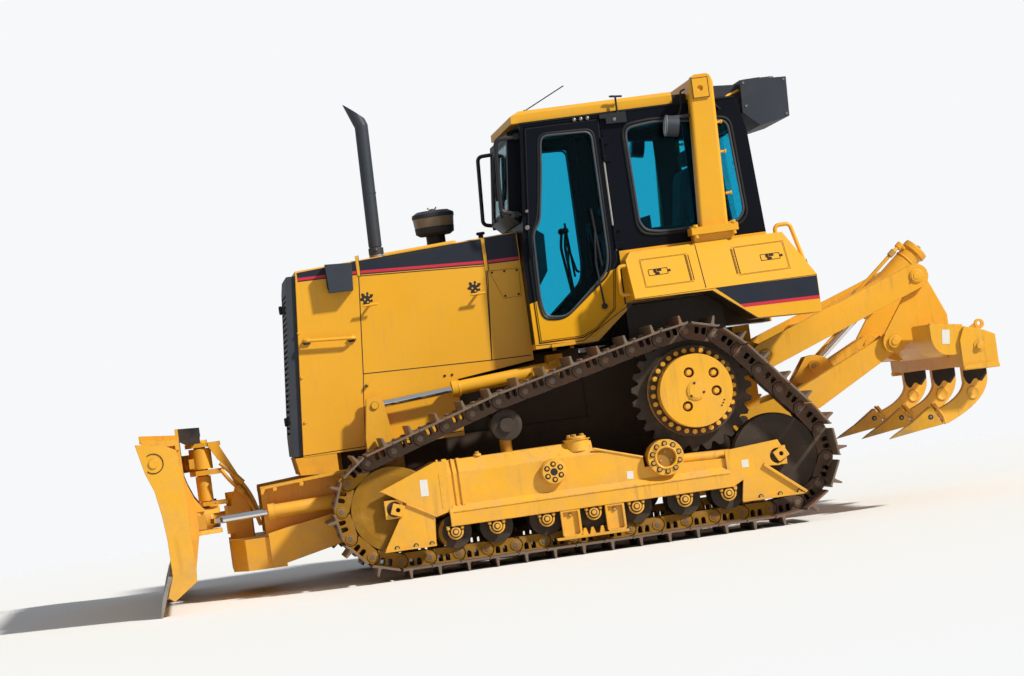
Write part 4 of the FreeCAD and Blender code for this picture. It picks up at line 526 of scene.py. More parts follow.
class Finish:
    """One material under construction: a Principled shader with effects in front of it."""

    def __init__(self, name, colour, rough, metal=0.0, round_by=0.0):
        self.material = bpy.data.materials.new(name)
        self.material.use_nodes = True
        tree = self.material.node_tree
        tree.nodes.clear()
        self.g = Graph(tree)
        self.colour = colour
        self.rough = rough
        self.metal = metal
        self.height = None
        self.normal = None
        self.wear = None
        if round_by:
            bevel = self.g.node("ShaderNodeBevel", samples=4)
            bevel.inputs["Radius"].default_value = round_by
            self.normal = bevel.outputs[0]
        LOOKS[name] = self.material

    def use(self, group, **values):
        made = self.g.node("ShaderNodeGroup")
        made.node_tree = bpy.data.node_groups[group]
        for key, value in values.items():
            self.g.set(made.inputs[key.replace("_", " ")], value)
        return made.outputs

    def mottled(self, amount, scale=1.6):
        self.colour = self.use("Colour drift", Color=self.colour, Amount=amount, Scale=scale)["Color"]
        return self

    def dusted(self, colour, amount, scale=5.0):
        mask = self.use("Settled dust", Amount=amount, Scale=scale)["Mask"]
        self.colour = self.g.mix(mask, self.colour, colour)
        self.rough = self.g.math("ADD", self.rough, self.g.math("MULTIPLY", mask, 0.35), True)
        return self

    def streaked(self, colour, amount):
        mask = self.use("Rain streaks", Amount=amount)["Mask"]
        self.colour = self.g.mix(mask, self.colour, colour)
        return self

    def chipped(self, colour, amount, scale=30.0, metal=0.0):
        mask = self.use("Edge wear", Rounded_Normal=self.normal, Amount=amount, Scale=scale)["Mask"]
        self.colour = self.g.mix(mask, self.colour, colour)
        if metal:
            self.metal = self.g.math("MULTIPLY", mask, metal)
        return self

    def zoned(self, colour, *boxes):
        """Another colour inside boxes given as design x, y, z spans, the same on both sides."""
        for x0, x1, y0, y1, z0, z1 in boxes:
            mask = self.use("Box zone", Low=tuple(place(x0, y0, z0)), High=tuple(place(x1, y1, z1)))["Mask"]
            self.colour = self.g.mix(mask, self.colour, colour)
        return self

    def below(self, colour, front, rear):
        """Another colour under the side-view line through two design points."""
        rise = (front[1] - rear[1]) / (front[0] - rear[0])
        height = (front[1] - rise * (front[0] - CENTRE_X)) / 1000
        mask = self.use("Under a line", Height=height, Rise=rise)["Mask"]
        self.colour = self.g.mix(mask, self.colour, colour)
        return self

    def grained(self, scale, depth):
        height = self.use("Surface grain", Scale=scale)["Height"]
        self.height = (height, depth)
        return self

    def done(self, **sockets):
        g = self.g
        shader = g.node("ShaderNodeBsdfPrincipled")
        g.set(shader.inputs["Base Color"], self.colour)
        g.set(shader.inputs["Roughness"], self.rough)
        g.set(shader.inputs["Metallic"], self.metal)
        for key, value in sockets.items():
            g.set(shader.inputs[key.replace("_", " ")], value)
        normal = self.normal
        if self.height:
            bump = g.node("ShaderNodeBump")
            g.set(bump.inputs["Height"], self.height[0])
            bump.inputs["Distance"].default_value = self.height[1]
            bump.inputs["Strength"].default_value = 0.6
            if normal:
                g.set(bump.inputs["Normal"], normal)
            normal = bump.outputs[0]
        if normal:
            g.set(shader.inputs["Normal"], normal)
        end = g.node("ShaderNodeOutputMaterial")
        g.tree.links.new(shader.outputs[0], end.inputs[0])
        return self.material


DUST = (0.36, 0.245, 0.15)
SOIL = (0.135, 0.075, 0.05)
RUST = (0.23, 0.085, 0.035)


def build_finishes(looks):
    """All materials, from the colours and amounts in the sidebar."""
    for make in (edge_wear_effect, dust_effect, streak_effect, mottle_effect, rust_effect, box_zone_effect,
                 under_line_effect, grain_effect, weave_effect):
        make()
    yellow = tuple(looks.yellow)
    black = tuple(looks.black)
    band = tuple(looks.band)
    dust = looks.dust
    wear = looks.wear
    Finish("yellow_clean", yellow, 0.36, 0.0, 0.005).mottled(0.16).streaked(DUST, 0.25 * dust).dusted(
        DUST, 0.24 * dust).chipped((0.42, 0.18, 0.03), 0.5 * wear, 38.0).grained(260.0, 0.0006).done(
        Coat_Weight=0.12, Coat_Roughness=0.3)
    # Fender, tank and cab floor yellow; the near-black boxes under the fenders and inside the cab are painted shade
    Finish("fender_paint_and_shade", yellow, 0.36, 0.0, 0.005).mottled(0.16).zoned(
        (0.05, 0.03, 0.012), (-900, 306, 700, 1112, 1300, 1603), (-900, 320, 0, 1000, 1300, 1603), (-600, 960, 0, 704, 1560, 2400)).streaked(
        DUST, 0.25 * dust).dusted(DUST, 0.24 * dust).chipped((0.42, 0.18, 0.03), 0.5 * wear, 38.0).grained(
        260.0, 0.0006).done(Coat_Weight=0.12, Coat_Roughness=0.3)
    Finish("blade_paint", yellow, 0.44, 0.0, 0.006).mottled(0.26, 2.4).streaked(SOIL, 0.5 * dust).zoned(
        black, (3250, 3404, 0, 520, 1050, 1180)).dusted(DUST, 0.7 * dust, 7.0).chipped(
        (0.24, 0.12, 0.05), 0.9 * wear, 26.0).grained(180.0, 0.0012).done(Coat_Weight=0.08, Coat_Roughness=0.35)
    Finish("yellow_working", yellow, 0.44, 0.0, 0.006).mottled(0.26, 2.4).streaked(SOIL, 0.5 * dust).dusted(
        DUST, 0.5 * dust, 7.0).chipped((0.24, 0.12, 0.05), 0.9 * wear, 26.0).grained(180.0, 0.0012).done(
        Coat_Weight=0.08, Coat_Roughness=0.35)
    # Body yellow at half strength: painted shade for recessed and tucked-under pieces
    Finish("yellow_shade", tuple(c * 0.5 for c in yellow), 0.6, 0.0, 0.004).mottled(0.3, 2.4).dusted(
        SOIL, 0.9 * dust).grained(150.0, 0.001).done()
    # Frame and rear case near-black: painted shade under the body and between the tracks, with soil dust; yellow paint
    # inside the boxes, where they show in the open
    Finish("hull_dirt_and_painted_shade", (0.035, 0.022, 0.012), 0.75, 0.0, 0.004).mottled(0.5, 3.0).zoned(
        yellow, (-760, -440, 300, 700, 500, 1400), (760, 900, 384, 700, 1150, 1345), (2340, 2700, 0, 600, 560, 900)).dusted(
        SOIL, 0.8 * dust).grained(120.0, 0.0014).done()
    Finish("cab_black", black, 0.42, 0.0, 0.005).mottled(0.35).below(yellow, (960, 1682), (338, 1846)).zoned(
        black, (-760, 330, 0, 800, 1500, 2400), (-760, 1000, 0, 704, 1400, 2400)).dusted(
        DUST, 0.02 * dust).chipped((0.05, 0.052, 0.06), 0.4 * wear, 40.0).grained(260.0, 0.0005).done(
        Specular_IOR_Level=0.12)
    Finish("band_dark", band, 0.5).mottled(0.3, 3.0).dusted(DUST, 0.12 * dust).grained(320.0, 0.0003).done(
        Specular_IOR_Level=0.3)
    Finish("rail_paint", yellow, 0.38, 0.0, 0.003).mottled(0.2).zoned(black, (850, 1120, 600, 760, 2200, 2900)).dusted(
        DUST, 0.3 * dust).grained(260.0, 0.0005).done(Coat_Weight=0.15)
    Finish("roof_yellow", yellow, 0.42, 0.0, 0.005).mottled(0.2).streaked(DUST, 0.35 * dust).dusted(
        DUST, 0.6 * dust).chipped((0.42, 0.18, 0.03), 0.5 * wear, 38.0).grained(260.0, 0.0006).done()
    Finish("line_red", tuple(looks.line), 0.4).mottled(0.2, 3.0).dusted(DUST, 0.2 * dust).done()
    Finish("seam_dark", (0.02, 0.016, 0.012), 0.8).mottled(0.4, 8.0).done()
    Finish("label_white", (0.72, 0.71, 0.67), 0.5).mottled(0.12, 9.0).dusted(DUST, 0.35 * dust).done()
    Finish("plastic_black", (0.012, 0.015, 0.02), 0.5, 0.0, 0.003).mottled(0.4, 3.0).dusted(
        DUST, 0.2 * dust).grained(420.0, 0.0006).done(Specular_IOR_Level=0.35)
    Finish("box_grey", (0.028, 0.037, 0.052), 0.55, 0.0, 0.004).mottled(0.3, 2.0).dusted(
        DUST, 0.2 * dust).chipped((0.12, 0.115, 0.115), 0.7 * wear, 34.0).grained(380.0, 0.0006).done(
        Specular_IOR_Level=0.35)
    Finish("rubber_grey", (0.05, 0.06, 0.07), 0.45).mottled(0.25, 5.0).grained(500.0, 0.0004).done()
    Finish("rubber_black", (0.008, 0.009, 0.011), 0.6).mottled(0.3, 6.0).dusted(DUST, 0.15 * dust).grained(
        450.0, 0.0005).done(Specular_IOR_Level=0.3)
    Finish("stack_blue", (0.04, 0.05, 0.066), 0.46, 0.2).mottled(0.4, 4.0).dusted(DUST, 0.15 * dust).grained(
        300.0, 0.0006).done()
    Finish("chrome_rod", (0.72, 0.74, 0.77), 0.09, 1.0).mottled(0.08, 9.0).done()
    Finish("bolt", (0.52, 0.3, 0.06), 0.5, 0.0, 0.002).mottled(0.4, 12.0).dusted(SOIL, 0.7 * dust).chipped(
        (0.3, 0.27, 0.24), wear, 60.0, 0.6).done()
    Finish("tip_paint", tuple(c * 0.85 for c in yellow), 0.5, 0.0, 0.006).mottled(0.5, 6.0).zoned(
        (0.5, 0.3, 0.06), (-1450, -1280, 0, 1000, 440, 500)).dusted(SOIL, 0.8 * dust).chipped(
        (0.3, 0.27, 0.24), wear, 30.0, 0.5).grained(120.0, 0.0016).done()
    Finish("edge_pale", (0.3, 0.3, 0.27), 0.6).mottled(0.7, 16.0).dusted(DUST, dust).done()
    # Near-black ring behind the hub's flange bolts: painted shade, with soil dust
    Finish("hub_ring", (0.06, 0.035, 0.012), 0.7).mottled(0.6, 9.0).dusted(SOIL, dust).grained(
        120.0, 0.001).done()
    Finish("bolt_steel", (0.3, 0.28, 0.26), 0.4, 0.85, 0.002).mottled(0.3, 12.0).dusted(SOIL, 0.5 * dust).done()
    # Near-black for holes, joints and gaps; where it sits in recesses, behind bolts and pins, in the bay under the cab
    # and at the shanks' tops it is painted shade
    Finish("deep_dark", (0.012, 0.01, 0.009), 0.9).mottled(0.5, 6.0).dusted(SOIL, 0.5 * dust).done()
    Finish("lamp_shell", (0.13, 0.14, 0.15), 0.42, 0.0, 0.003).mottled(0.25, 6.0).dusted(DUST, 0.4 * dust).grained(
        400.0, 0.0005).done()
    Finish("lamp_lens", (0.62, 0.66, 0.68), 0.12).mottled(0.1, 14.0).grained(520.0, 0.0008).done(Coat_Weight=0.6)
    Finish("bowl_tan", (0.27, 0.2, 0.12), 0.3).mottled(0.5, 7.0).dusted(DUST, 0.6 * dust).grained(90.0, 0.001).done(
        Coat_Weight=0.4)
    Finish("interior_grey", (0.06, 0.064, 0.07), 0.7, 0.0, 0.004).mottled(0.2, 3.0).grained(500.0, 0.0006).done()
    # Engine block near-black: painted shade inside the hull, with soil dust
    Finish("engine_dirt_and_painted_shade", (0.05, 0.042, 0.03), 0.7).mottled(0.5, 4.0).dusted(SOIL, dust).grained(90.0, 0.002).done()
    for name, metal, rust, amount, scale, rough in (
            ("track_brown", (0.115, 0.075, 0.05), (0.15, 0.062, 0.03), 0.5, 9.0, 0.62),
            ("shoe_rusty", (0.2, 0.155, 0.115), (0.27, 0.1, 0.045), 0.5, 7.0, 0.55),
            ("wheel_dark", (0.05, 0.04, 0.03), (0.07, 0.04, 0.022), 0.45, 6.0, 0.65),
            ("tip_worn", (0.34, 0.3, 0.24), (0.26, 0.15, 0.06), 0.45, 14.0, 0.42),
            ("edge_worn", (0.36, 0.33, 0.3), (0.24, 0.1, 0.045), 0.5, 10.0, 0.4)):
        made = Finish(name, metal, rough, 0.35, 0.003)
        out = made.use("Rust and scale", Metal=metal, Rust=rust, Amount=amount, Scale=scale)
        made.colour = out["Color"]
        made.height = (out["Height"], 0.0025)
        made.metal = made.g.math("MULTIPLY", made.g.math("SUBTRACT", 1.0, out["Mask"]), 0.55)
        made.mottled(0.3, 3.0)
        # Yellow at 0.46 strength on the front idler and on the chain's lower run and front wrap
        dim_yellow = tuple(c * 0.46 for c in yellow)
        if name == "wheel_dark":
            made.zoned(dim_yellow, (1760, 2420, 600, 1060, 100, 800))
        elif name == "track_brown":
            made.zoned(dim_yellow, (-420, 1990, 700, 1190, 0, 190), (1990, 2500, 700, 1190, 0, 720))
        made.chipped((0.46, 0.42, 0.38), 0.85 * wear, 42.0).dusted(SOIL, 0.6 * dust).done()
    glass = Finish("glass_tinted", tuple(looks.glass), 0.03)
    glass.done(Transmission_Weight=1.0, IOR=1.16, Specular_IOR_Level=0.6)
    cloth = Finish("seat_cloth", (0.05, 0.055, 0.065), 0.9)
    weave = cloth.use("Cloth weave", Scale=160.0)
    cloth.colour = cloth.g.mix(weave["Mask"], (0.032, 0.036, 0.045), (0.085, 0.09, 0.105))
    cloth.height = (weave["Height"], 0.0008)
    cloth.mottled(0.2, 4.0).done(Sheen_Weight=0.3)


# CAD nodes and the finish each one gets
NODE_LOOKS = {
    "main_frame": "hull_dirt_and_painted_shade", "engine_block": "engine_dirt_and_painted_shade", "rear_case": "hull_dirt_and_painted_shade", "hood": "yellow_clean",
    "grille": "box_grey", "side_panel_left": "yellow_clean", "side_panel_right": "yellow_clean",
    "exhaust_stack": "stack_blue", "precleaner": "box_grey", "cab_floor": "fender_paint_and_shade", "cab_frame": "cab_black",
    "cab_roof": "roof_yellow", "cab_glass": "glass_tinted", "console": "interior_grey", "seat": "seat_cloth",
    "fuel_tank": "fender_paint_and_shade", "fender_left": "fender_paint_and_shade", "fender_right": "fender_paint_and_shade",
    "rollover_frame": "yellow_clean", "air_conditioner": "box_grey", "work_lamps": "box_grey",
    "grab_rails": "rail_paint", "track_frame_left": "yellow_working", "track_frame_right": "yellow_working",
    "rollers_left": "wheel_dark", "rollers_right": "wheel_dark", "sprocket_left": "wheel_dark",
    "sprocket_right": "wheel_dark", "hub_cover_left": "yellow_working", "hub_cover_right": "yellow_working",
    "track_left": "track_brown", "track_right": "track_brown", "c_frame": "yellow_working",
    "blade_yoke": "yellow_working", "moldboard": "blade_paint", "cutting_edge": "edge_worn",
    "lift_barrel_left": "yellow_clean", "lift_barrel_right": "yellow_clean", "lift_rod_left": "chrome_rod",
    "lift_rod_right": "chrome_rod", "angle_barrel_left": "yellow_working", "angle_barrel_right": "yellow_working",
    "angle_rod_left": "chrome_rod", "angle_rod_right": "chrome_rod", "tilt_barrel": "yellow_working",
    "tilt_rod": "chrome_rod", "ripper_upper_link": "yellow_working", "ripper_lower_link": "yellow_working",
    "ripper_carriage": "yellow_working", "ripper_shanks": "yellow_working", "ripper_barrel": "yellow_working",
    "ripper_rod": "chrome_rod", "cab_door_left": "cab_black", "cab_door_right": "cab_black",
    "door_glass_left": "glass_tinted", "door_glass_right": "glass_tinted", "locker_lid_front_left": "yellow_clean",
    "locker_lid_front_right": "yellow_clean", "locker_lid_rear_left": "yellow_clean",
    "locker_lid_rear_right": "yellow_clean"}


# Track chain
def belt(circles):
    """Tangent points of a tight belt round the circles (x, z, radius), as arcs and straights."""
    count = len(circles)
    angles = []
    for i in range(count):
        x0, z0, r0 = circles[i]
        x1, z1, r1 = circles[(i + 1) % count]
        length = math.hypot(x1 - x0, z1 - z0)
        angles.append(math.atan2(z1 - z0, x1 - x0) - math.acos((r0 - r1) / length))
    pieces = []
    for i in range(count):
        x, z, r = circles[i]
        a0, a1 = angles[i - 1], angles[i]
        while a1 < a0:
            a1 += 2 * math.pi
        pieces.append((r * (a1 - a0), x, z, r, a0))
        nx, nz, nr = circles[(i + 1) % count]
        start = (x + r * math.cos(a1), z + r * math.sin(a1))
        end = (nx + nr * math.cos(a1), nz + nr * math.sin(a1))
        pieces.append((math.dist(start, end), start, end))
    return pieces


def belt_point(pieces, distance):
    for piece in pieces:
        if distance <= piece[0]:
            if len(piece) == 5:
                angle = piece[4] + distance / piece[3]
                return (piece[1] + piece[3] * math.cos(angle), piece[2] + piece[3] * math.sin(angle))
            share = distance / piece[0]
            return tuple(a + (b - a) * share for a, b in zip(piece[1], piece[2]))
        distance -= piece[0]
    return belt_point(pieces, distance)


def track_pins():
    """The pin centres of one track, on the part's own line."""
    idler = IDLER_Z - PIN_HEIGHT
    pieces = belt([(IDLERS_X[0], IDLER_Z, idler), (CARRIER[0], CARRIER[1], CARRIER[2] + RAIL_DEPTH + CHORD_DROP),
                   SPROCKET, (IDLERS_X[1], IDLER_Z, idler)])
    total = sum(piece[0] for piece in pieces)
    count = round(total / LINK_PITCH)
    return [belt_point(pieces, total * i / count) for i in range(count)]


def link_outlines(length):
    """Outer and inner layer of one link's side bar, and its two arched windows, along and above the pin line."""
    lobe = circle(0, 0, 44, 9, 90, 180)
    hollow = circle(length, 0, 50, 7, 232, -104)
    near = [(0, SHOE_ROOT)] + lobe + [(8, -RAIL_DEPTH), (length - 30, -RAIL_DEPTH)] + hollow + [(length - 30, SHOE_ROOT)]
    far = [(length - u, v) for u, v in near]
    windows = []
    for middle in (0.375 * length, 0.625 * length):
        arch = circle(middle, 6, 15, 6, 180, 180)
        windows.append([(middle + 15, 38), (middle - 15, 38)] + arch)
    return near, far, windows


SHOE_SECTION = ((0.03, 46), (0.03, 56), (0.07, 58), (0.68, 58), (0.705, 66), (0.725, 109), (0.735, 114), (0.785, 114),
                (0.795, 109), (0.81, 66), (0.83, 58), (0.95, 58), (1.0, 62), (1.025, 60), (0.985, 46))


def track_chain(side_name, side):
    pins = track_pins()
    count = len(pins)
    piece = Piece(side)
    for i in range(count):
        x0, z0 = pins[i]
        x1, z1 = pins[(i + 1) % count]
        length = math.hypot(x1 - x0, z1 - z0)
        u = Vector(((x1 - x0) / length, 0, (z1 - z0) / length))
        v = Vector((u.z, 0, -u.x))
        w = Vector((0, 1, 0))
        base = Vector((x0, TRACK_Y, z0))
        near, far, windows = link_outlines(length)
        for edge in (-1, 1):
            for outline, low, high in ((near, 67, 90), (far, 43, 66)):
                piece.prism(outline, base + w * (low if edge > 0 else -high), u, v, w, high - low, "track_brown", windows)
            face = base + w * edge * 90
            piece.drum(face, face + w * edge * 4, 34, "track_brown", 14, 2)
            piece.drum(face, face + w * edge * 5.5, 19, "shoe_rusty", 12, 1.5)
        piece.drum(base - w * 44, base + w * 44, 32, "shoe_rusty", 12)
        section = [(share * length, height) for share, height in SHOE_SECTION]
        piece.prism(section, base - w * TRACK_HALF, u, v, w, 2 * TRACK_HALF, "shoe_rusty")
        for along in (0.2, 0.52):
            for across in (-78, -48, 48, 78):
                at = base + u * along * length + w * across
                piece.drum(at + v * 57, at + v * 70, 12, "shoe_rusty", 6, 2)
                if abs(across) < 60:
                    piece.drum(at + v * 34, at + v * 47, 12, "track_brown", 6, 2)
    return piece.make("track_chain_" + side_name, "chassis", "track_steel", "track_" + side_name)


# Running gear
def running_gear(side_name, side):
    piece = Piece(side)
    for x in ROLLER_X:
        piece.side_plate([(x - 58, 300), (x - 58, 276), (x - 40, 262), (x + 40, 262), (x + 58, 276), (x + 58, 300)],
                         1099, 1112, "yellow_working")
        for y, thick, r, look in ((1098, 14, 52, "yellow_working"), (1111, 4, 40, "deep_dark"),
                                  (1112, 12, 33, "yellow_working"), (1123, 3, 21, "deep_dark"),
                                  (1124, 6, 15, "yellow_working")):
            piece.drum((x, y, ROLLER_Z), (x, y + thick, ROLLER_Z), r, look, 26, 2 if thick > 4 else 0)
        for dx in (-46, 46):
            piece.bolt((x + dx, 1112, 284), (0, 1, 0), 18, "yellow_working")
    # Track guiding guard: two hoops and their rail
    for x0, x1 in ((870, 1000), (574, 702)):
        hoop = [(x0, 298), (x0, 134), (x0 + 12, 120), (x1 - 12, 120), (x1, 134), (x1, 298)]
        inner = [(x0 + 16, 284), (x0 + 16, 142), (x0 + 24, 134), (x1 - 24, 134), (x1 - 16, 142), (x1 - 16, 284)]
        piece.side_plate(hoop, 1104, 1130, "yellow_working", [inner])
        piece.side_plate([(x0 + 8, 290), (x0 + 8, 128), (x1 - 8, 128), (x1 - 8, 290)], 1098, 1106, "yellow_working")
        piece.bolt(((x0 + x1) / 2, 1106, 262), (0, 1, 0), 20)
    piece.side_plate([(1046, 122), (1040, 104), (560, 104), (566, 122)], 1092, 1134, "yellow_working")
    for x in (735, 800, 850):
        piece.side_plate([(x - 20, 122), (x + 20, 122), (x + 8, 165), (x - 8, 165)], 1100, 1112, "yellow_working")
    # Pivot boss, side hub and fill cover; the recessed disc inside the boss's ring is painted shade
    for k in range(10):
        a = math.radians(18 + 36 * k)
        at = (257 + 92 * math.cos(a), 1147, 551 + 92 * math.sin(a))
        piece.drum(at, (at[0], 1149, at[2]), 19, "deep_dark", 14)
        piece.bolt(at, (0, 1, 0), 22, washer=False)
    ring = [(257 + 71 * math.cos(math.radians(a)), 1149, 551 + 71 * math.sin(math.radians(a))) for a in range(0, 360, 15)]
    piece.pipe(ring, 9, "yellow_working", 1, 8, True)
    piece.drum((257, 1119, 551), (257, 1123, 551), 61, "yellow_shade", 28)
    for k in range(3):
        a = math.radians(90 + 120 * k)
        piece.bolt((257 + 40 * math.cos(a), 1122, 551 + 40 * math.sin(a)), (0, 1, 0), 14)
    piece.drum((1004, 1128, 559), (1004, 1141, 559), 80, "yellow_working", 30, 4)
    for k in range(6):
        a = math.radians(30 + 60 * k)
        at = (1004 + 51 * math.cos(a), 1140, 559 + 51 * math.sin(a))
        piece.drum(at, (at[0], 1142, at[2]), 19, "deep_dark", 14)
        piece.drum((at[0], 1141, at[2]), (at[0], 1147, at[2]), 11, "yellow_working", 6, 2)
    piece.drum((1004, 1140, 559), (1004, 1142, 559), 24, "deep_dark", 18)
    piece.drum((815, 1000, 741), (815, 1000, 749), 92, "yellow_working", 30, 3)
    piece.drum((815, 1000, 748), (815, 1000, 768), 66, "yellow_working", 26, 4)
    for k in range(5):
        a = math.radians(72 * k)
        piece.bolt((815 + 48 * math.cos(a), 1000 + 48 * math.sin(a), 768), (0, 0, 1), 22)
    # Steps, ribs and weld lines of the frame, with a near-black band of painted shade in the gap of the front collar
    for x0, x1, out, look in ((1606, 1626, 10, "yellow_working"), (1650, 1664, 8, "yellow_working"),
                              (1690, 1722, 18, "yellow_working"), (1722, 1746, 13, "deep_dark"),
                              (1746, 1760, 21, "yellow_working")):
        band = [(1090, 424), (1090, 638), (1022, 729), (1022, 729 + out * 0.6), (1034, 729 + out * 0.6),
                (1090 + out, 640 + out * 0.4), (1090 + out, 424)]
        piece.prism(band, (x0, 0, 0), (0, 1, 0), (0, 0, 1), (1, 0, 0), x1 - x0, look)
    piece.pipe([(722, 1091, 672), (402, 1091, 572)], 8, "yellow_working", 1, 8)
    piece.pipe([(1690, 1131, 300), (-150, 1131, 300)], 4, "yellow_working", 1, 6)
    piece.pipe([(1690, 1131, 388), (-150, 1131, 388)], 4, "yellow_working", 1, 6)
    piece.drum((1480, 1010, 727), (1480, 1010, 745), 26, "yellow_working", 16, 3)
    piece.bolt((1480, 1010, 745), (0, 0, 1), 24)
    piece.drum((350, 1050, 565), (350, 1050, 590), 18, "yellow_working", 14, 2)
    # Guard edges, axle blocks and bolts
    for x, z in ((2090, 205), (1965, 205), (1860, 205), (-600, 206), (-470, 206), (-340, 206)):
        piece.drum((x, 1108, z), (x, 1112, z), 17, "deep_dark", 14)
        piece.bolt((x, 1110, z), (0, 1, 0), 20, washer=False)
    piece.side_plate([(2174, 186), (1833, 186), (1829, 200), (2166, 200)], 1108, 1126, "yellow_working")
    piece.side_plate([(-641, 186), (-214, 186), (-214, 200), (-627, 200)], 1108, 1124, "yellow_working")
    piece.side_plate([(-641, 190), (-655, 204), (-390, 424), (-380, 408)], 1108, 1128, "yellow_working")
    piece.side_plate([(1990, 492), (1815, 388), (1811, 374), (1996, 480)], 1108, 1124, "yellow_working")
    for x, z, tilt in ((2052, 452, 0.35), (-512, 470, -0.5)):
        c, s = math.cos(tilt), math.sin(tilt)
        corner = [(x + c * a - s * b, z + s * a + c * b) for a, b in ((-42, -38), (42, -38), (42, 38), (-42, 38))]
        piece.side_plate(rounded(corner, 8, 3), 1098, 1122, "yellow_working", [circle(x, z, 15, 14)[::-1]])
        piece.drum((x, 1096, z), (x, 1106, z), 15, "deep_dark", 14)
    # Blank plates where the photograph has signs
    for outline in (((1887, 626), (1836, 624), (1838, 516), (1889, 518)), ((523, 494), (480, 491), (481, 440), (524, 442)),
                    ((-242, 463), (-288, 461), (-287, 411), (-241, 412))):
        y = 1110 if outline[0][0] != 523 else 1090
        piece.side_plate(outline, y - 0.5, y + 1.2, "label_white")
    # Hub: plugs in the four wells, centre disc, outer flange bolts
    for angle, away in ((75, 128), (142, 165), (188, 135), (306, 120)):
        x = away * math.cos(math.radians(angle))
        z = SPROCKET[1] + away * math.sin(math.radians(angle))
        piece.drum((x, 1143, z), (x, 1147, z), 33, "deep_dark", 20)
        piece.bolt((x, 1146, z), (0, 1, 0), 34, "yellow_working")
    for angle in (206, 212, 218):
        x = 196 * math.cos(math.radians(angle))
        z = SPROCKET[1] + 196 * math.sin(math.radians(angle))
        piece.drum((x, 1169, z), (x, 1171.5, z), 6, "deep_dark", 10)
    # Near-black ring behind the flange bolts, and dark spots between the bolts: painted shade
    ring = circle(0, 960, 301, 60)
    piece.side_plate(ring, 1034, 1037.5, "hub_ring", [circle(0, 960, 243.5, 60)])
    piece.drum((0, 1177, 960), (0, 1181, 960), 52, "yellow_working", 28, 2)
    for k in range(3):
        a = math.radians(80 + 120 * k)
        piece.drum((50 * math.cos(a), 1177, 960 + 50 * math.sin(a)), (50 * math.cos(a), 1184, 960 + 50 * math.sin(a)), 8,
                   "deep_dark", 10)
    for k in range(30):
        a = 2 * math.pi * k / 30
        at = (270 * math.cos(a), 1036, 960 + 270 * math.sin(a))
        piece.drum(at, (at[0], 1060, at[2]), 17, "yellow_working", 12, 3)
        a += math.pi / 30
        piece.drum((286 * math.cos(a), 1034, 960 + 286 * math.sin(a)), (286 * math.cos(a), 1037, 960 + 286 * math.sin(a)), 9,
                   "deep_dark", 8)
    return piece.make("running_gear_" + side_name, "chassis", "yellow")


